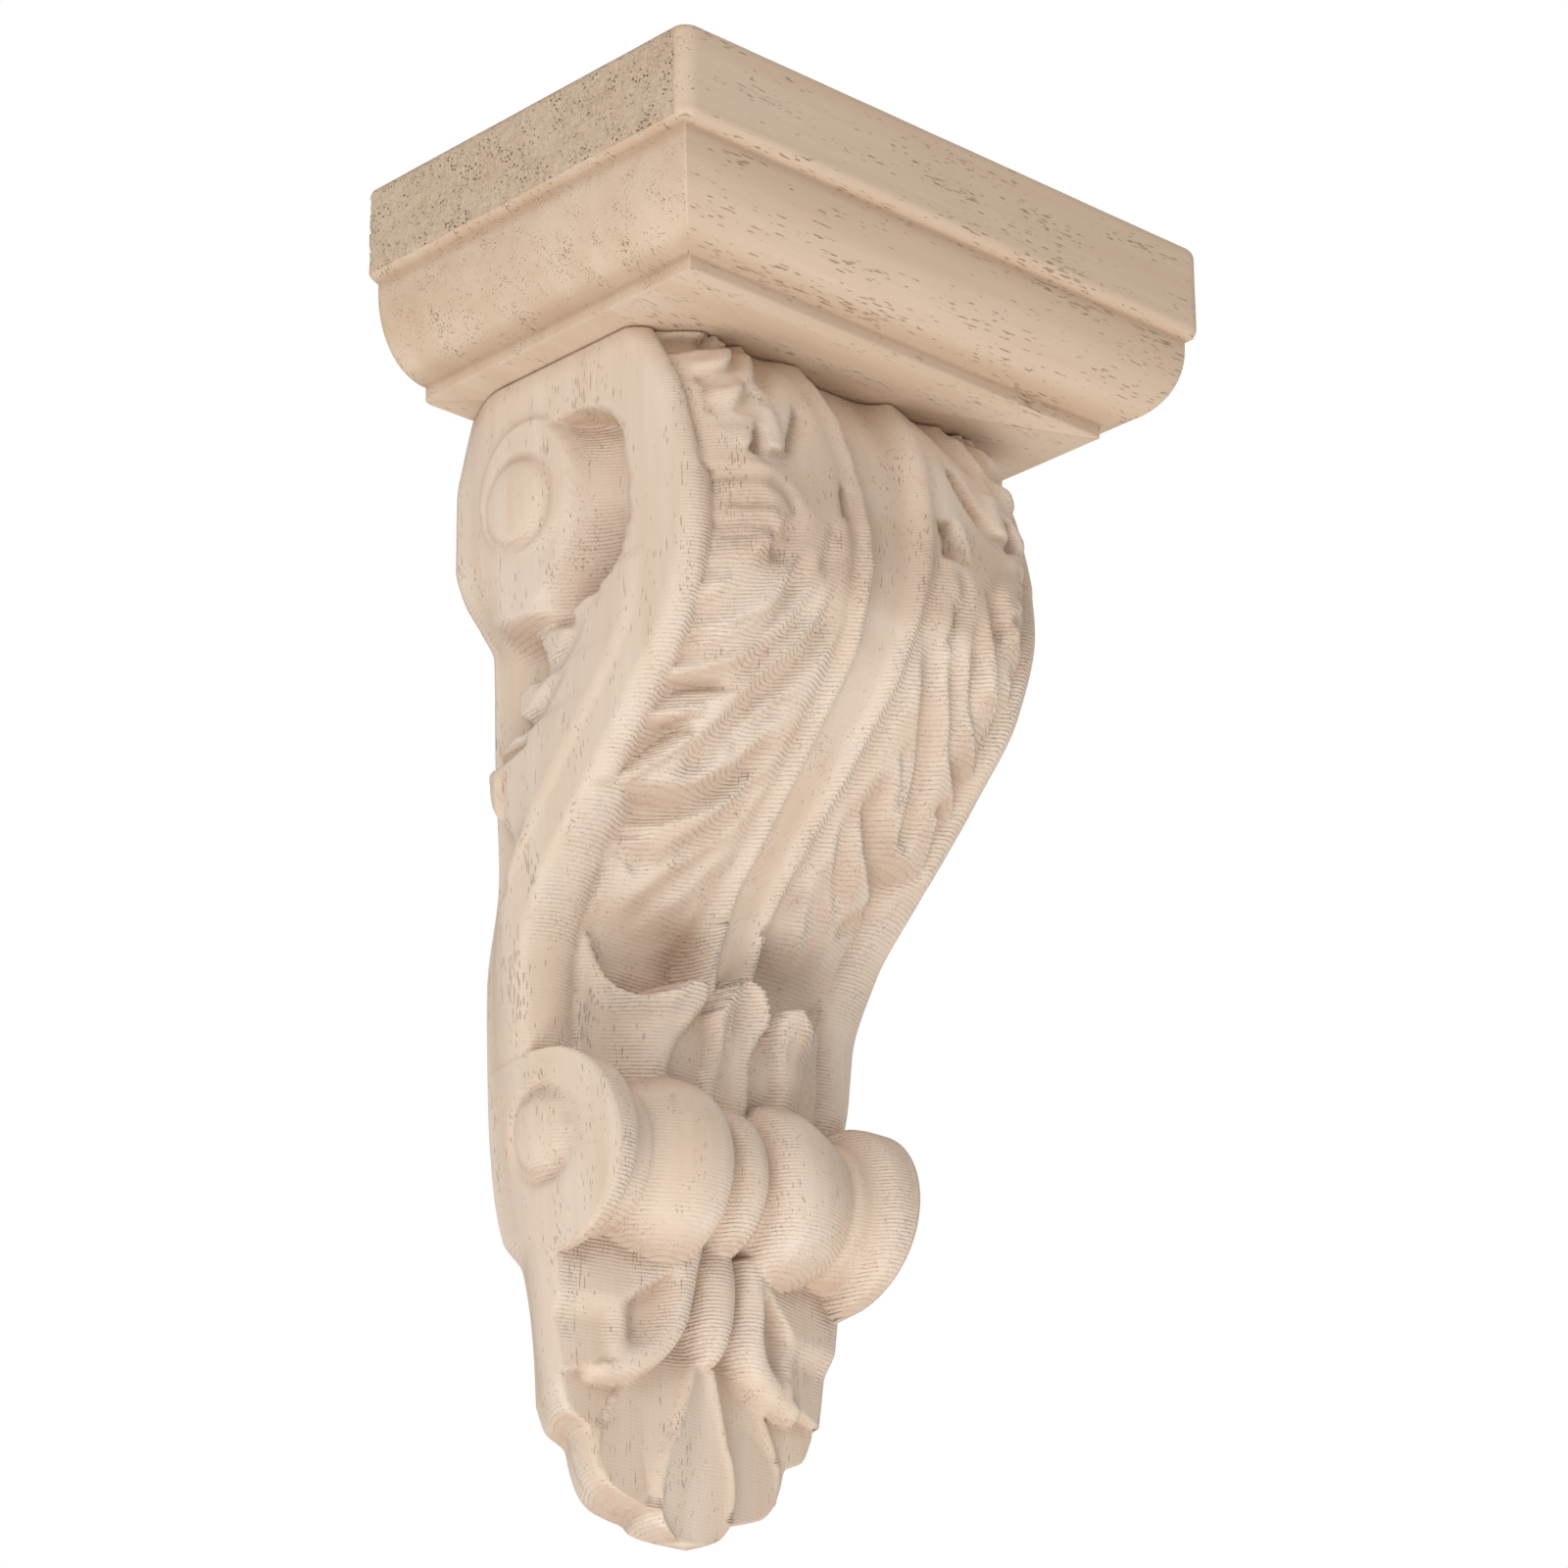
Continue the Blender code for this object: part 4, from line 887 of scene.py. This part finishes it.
def makeBody():
    ringX, ringD, ringL = carvedBody()
    piece = skin("bodyCarving", ringX, ringD, ringL)
    normals = meshNormals(piece)[:ringX.size].reshape(*ringX.shape, 3)
    # the hollow mark carries painted shade
    for name, values in zip(("cutter", "hollow", "endOn"), toolMarks(ringX, ringD, ringL, normals)):
        markFaces(piece, name, values)
    piece.data.materials.append(carvedMaterial())
    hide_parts("body")
    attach(piece, "root")
    print("body carved:", len(piece.data.polygons), "faces")


capShape = {
    "width": 107.5, "depth": 71.0, "slab": 15.2, "moulding": 14.0, "plate": 2.5,
    "stepIn": 2.0, "fillet": 1.5, "plateIn": 11.5, "shoulder": 0.8, "arris": 1.6,
    "corner": 2.6, "lowCorner": 0.35, "backRound": 1.2,
    "frontColumns": 250, "endColumns": 168, "cornerColumns": 8, "backColumns": 6,
    # the saw's bite into the ends, the waviness of the routed faces, and the painted shade under two steps
    "bite": 0.55, "endWave": 0.06, "frontWave": 0.05, "shadeWidths": (0.9, 0.7), "sharp": 50,
    "fields": ((0.9, 3.0), (0.45, 9.0), (9.0, 5.0)),  # size and seed: coarse and fine bite, waviness
}


def arcPoints(cx, cy, rx, ry, start, stop, count):
    turns = np.radians(np.linspace(start, stop, count))
    return [(cx + rx * math.cos(t), cy + ry * math.sin(t)) for t in turns]


def capProfile():
    # from the top's rim down to the underside: (in from the face, level)
    s = capShape
    arris, stepIn, fillet, plateIn = s["arris"], s["stepIn"], s["fillet"], s["plateIn"]
    foot = s["slab"]
    low = foot + s["moulding"]
    total = low + s["plate"]
    quarter = plateIn - s["shoulder"]
    line = arcPoints(arris, arris, arris, arris, -90, -180, 8)
    line += [(0, v) for v in np.linspace(arris + 0.4, foot - arris - 0.4, 26)]
    line += arcPoints(arris, foot - arris, arris, arris, 180, 90, 9)
    line += [(stepIn - 0.1, foot), (stepIn, foot + 0.2)]
    line += [(stepIn, v) for v in np.linspace(foot + 0.5, foot + fillet, 4)]
    line += arcPoints(quarter, foot + fillet, quarter - stepIn, s["moulding"] - fillet, 180, 90, 34)[1:]
    line += [(plateIn - 0.1, low), (plateIn, low + 0.15)]
    line += [(plateIn, v) for v in np.linspace(low + 0.5, total - 0.2, 5)]
    return line + [(plateIn + 0.2, total)]


def capRing(inset, level):
    # plan of one level: back left, round the front, back right, as across and depth
    s = capShape
    half, deep = s["width"] / 2 - inset, s["depth"] - inset
    r = s["corner"] if level < s["slab"] - 0.2 else s["lowCorner"]
    r = max(r - inset * 0.5, 0.3)
    run = np.linspace(0, deep - r, s["endColumns"])
    back = s["backRound"]
    turnIn = back - np.sqrt(back**2 - np.clip(back - run, 0, back) ** 2)  # the back's upright edges
    corners = []
    for cx, start in ((-half + r, 180), (half - r, 90)):
        turns = np.radians(np.linspace(start, start - 90, s["cornerColumns"] + 2))[1:-1]
        corners.append([(cx + r * math.cos(t), deep - r + r * math.sin(t)) for t in turns])
    ring = [(-half + e, d) for e, d in zip(turnIn, run)] + corners[0]
    ring += [(x, deep) for x in np.linspace(-half + r, half - r, s["frontColumns"])] + corners[1]
    ring += [(half - e, d) for e, d in zip(turnIn[::-1], run[::-1])]
    return ring + [(x, 0.0) for x in np.linspace(half - back, back - half, s["backColumns"] + 2)[1:-1]]


def makeCap():
    s = capShape
    profile = capProfile()
    rings = np.array([capRing(inset, level) for inset, level in profile])
    ringX, ringD = rings[:, :, 0], rings[:, :, 1]
    rows, columns = ringX.shape
    ringL = np.repeat(np.array([level for _, level in profile])[:, None], columns, axis=1)
    sawn = (np.abs(ringX) > s["width"] / 2 - 1.2) & (ringL < s["slab"] - 0.8) & (ringL > 0.8)
    ends = np.zeros((rows, columns))
    ends[:, :s["endColumns"]] = 1
    ends[:, -(s["endColumns"] + s["backColumns"]):-s["backColumns"]] = 1
    points = np.stack((ringX, ringD, ringL), axis=2).reshape(-1, 3)
    coarse, fine, wave = [noiseOf(points / size + (seed, 0, 0)).reshape(rows, columns)
                          for size, seed in s["fields"]]
    bite = np.clip(0.25 + (coarse * 0.5 + fine * 0.5), 0, 1) * s["bite"] * sawn * ends
    bite = bite + (s["endWave"] + s["endWave"] * wave) * (ringD > 0.5)
    # painted shade under the two steps, carried in the hollow mark
    step = [np.exp(-((ringL - at) / width) ** 2) for at, width in
            zip((s["slab"] + 0.7, s["slab"] + s["moulding"]), s["shadeWidths"])]
    ringX = ringX - np.sign(ringX) * bite * ends
    ringD = ringD - (s["frontWave"] + s["frontWave"] * wave) * (1 - ends) * (ringD > 0.5)
    piece = skin("capMoulding", ringX, ringD, ringL)
    markFaces(piece, "sawn", sawn * ends)
    markFaces(piece, "ends", ends)
    markFaces(piece, "hollow", np.clip(step[0] + step[1], 0, 1))
    piece.data.set_sharp_from_angle(angle=math.radians(s["sharp"]))
    piece.data.materials.append(mouldedMaterial())
    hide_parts("cap")
    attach(piece, "root")
    print("cap moulded:", len(piece.data.polygons), "faces")


mouldedWood = {
    "pale": (0.71, 0.55, 0.41, 1), "warm": (0.63, 0.455, 0.315, 1), "pore": (0.27, 0.15, 0.08, 1),
    "straw": (0.78, 0.62, 0.43, 1), "shade": (0.46, 0.31, 0.20, 1),
    "bands": (0.35, 0.7), "fibres": (0.45, 0.75), "fibreTint": 0.3, "hollowShadeTint": 0.45,
    "straws": (0.4, 0.7), "strawTint": 0.8, "poreTint": 0.7,
    "grainSeed": 8.3, "poreSeed": 2.9, "poreAmount": 0.9,
    "fibreHeight": 0.00004, "poreDepth": 0.0001, "strawHeight": 0.0004, "pitDepth": 0.0004,
    "roughness": 0.62,
}


def mouldedMaterial():
    m = mouldedWood
    material, tree, shader = newMaterial("mouldedWood")
    spot = add(tree, "ShaderNodeTexCoord").outputs["Object"]
    turned = add(tree, "ShaderNodeVectorRotate", {"rotation_type": "Y_AXIS"}, Vector=spot,
                 Angle=math.radians(90)).outputs[0]  # the grain runs across
    grain = useGroup(tree, "grain", Vector=turned, Seed=m["grainSeed"])
    pores = useGroup(tree, "pores", Vector=turned, Amount=m["poreAmount"], Seed=m["poreSeed"])["Pores"]
    ends = useGroup(tree, "ends", Vector=spot, Amount=painted(tree, "sawn"))

    colour = tinted(tree, m, grain, (
        (times(tree, painted(tree, "hollow"), m["hollowShadeTint"]), "shade"),
        (times(tree, spread(tree, ends["Straw"], *m["straws"]), m["strawTint"]), "straw"),
        (larger(tree, times(tree, pores, m["poreTint"]), ends["Pits"]), "pore")))

    height = times(tree, grain["Fibres"], m["fibreHeight"])
    height = minus(tree, height, times(tree, pores, m["poreDepth"]))
    height = maths(tree, "ADD", height, times(tree, ends["Straw"], m["strawHeight"]))
    height = minus(tree, height, times(tree, ends["Pits"], m["pitDepth"]))
    woodFinish(tree, shader, m, colour, height, grain["Fibres"])
    return material


makeCamera()
makeStudio()
print("camera and studio set")
makeBody()
makeCap()
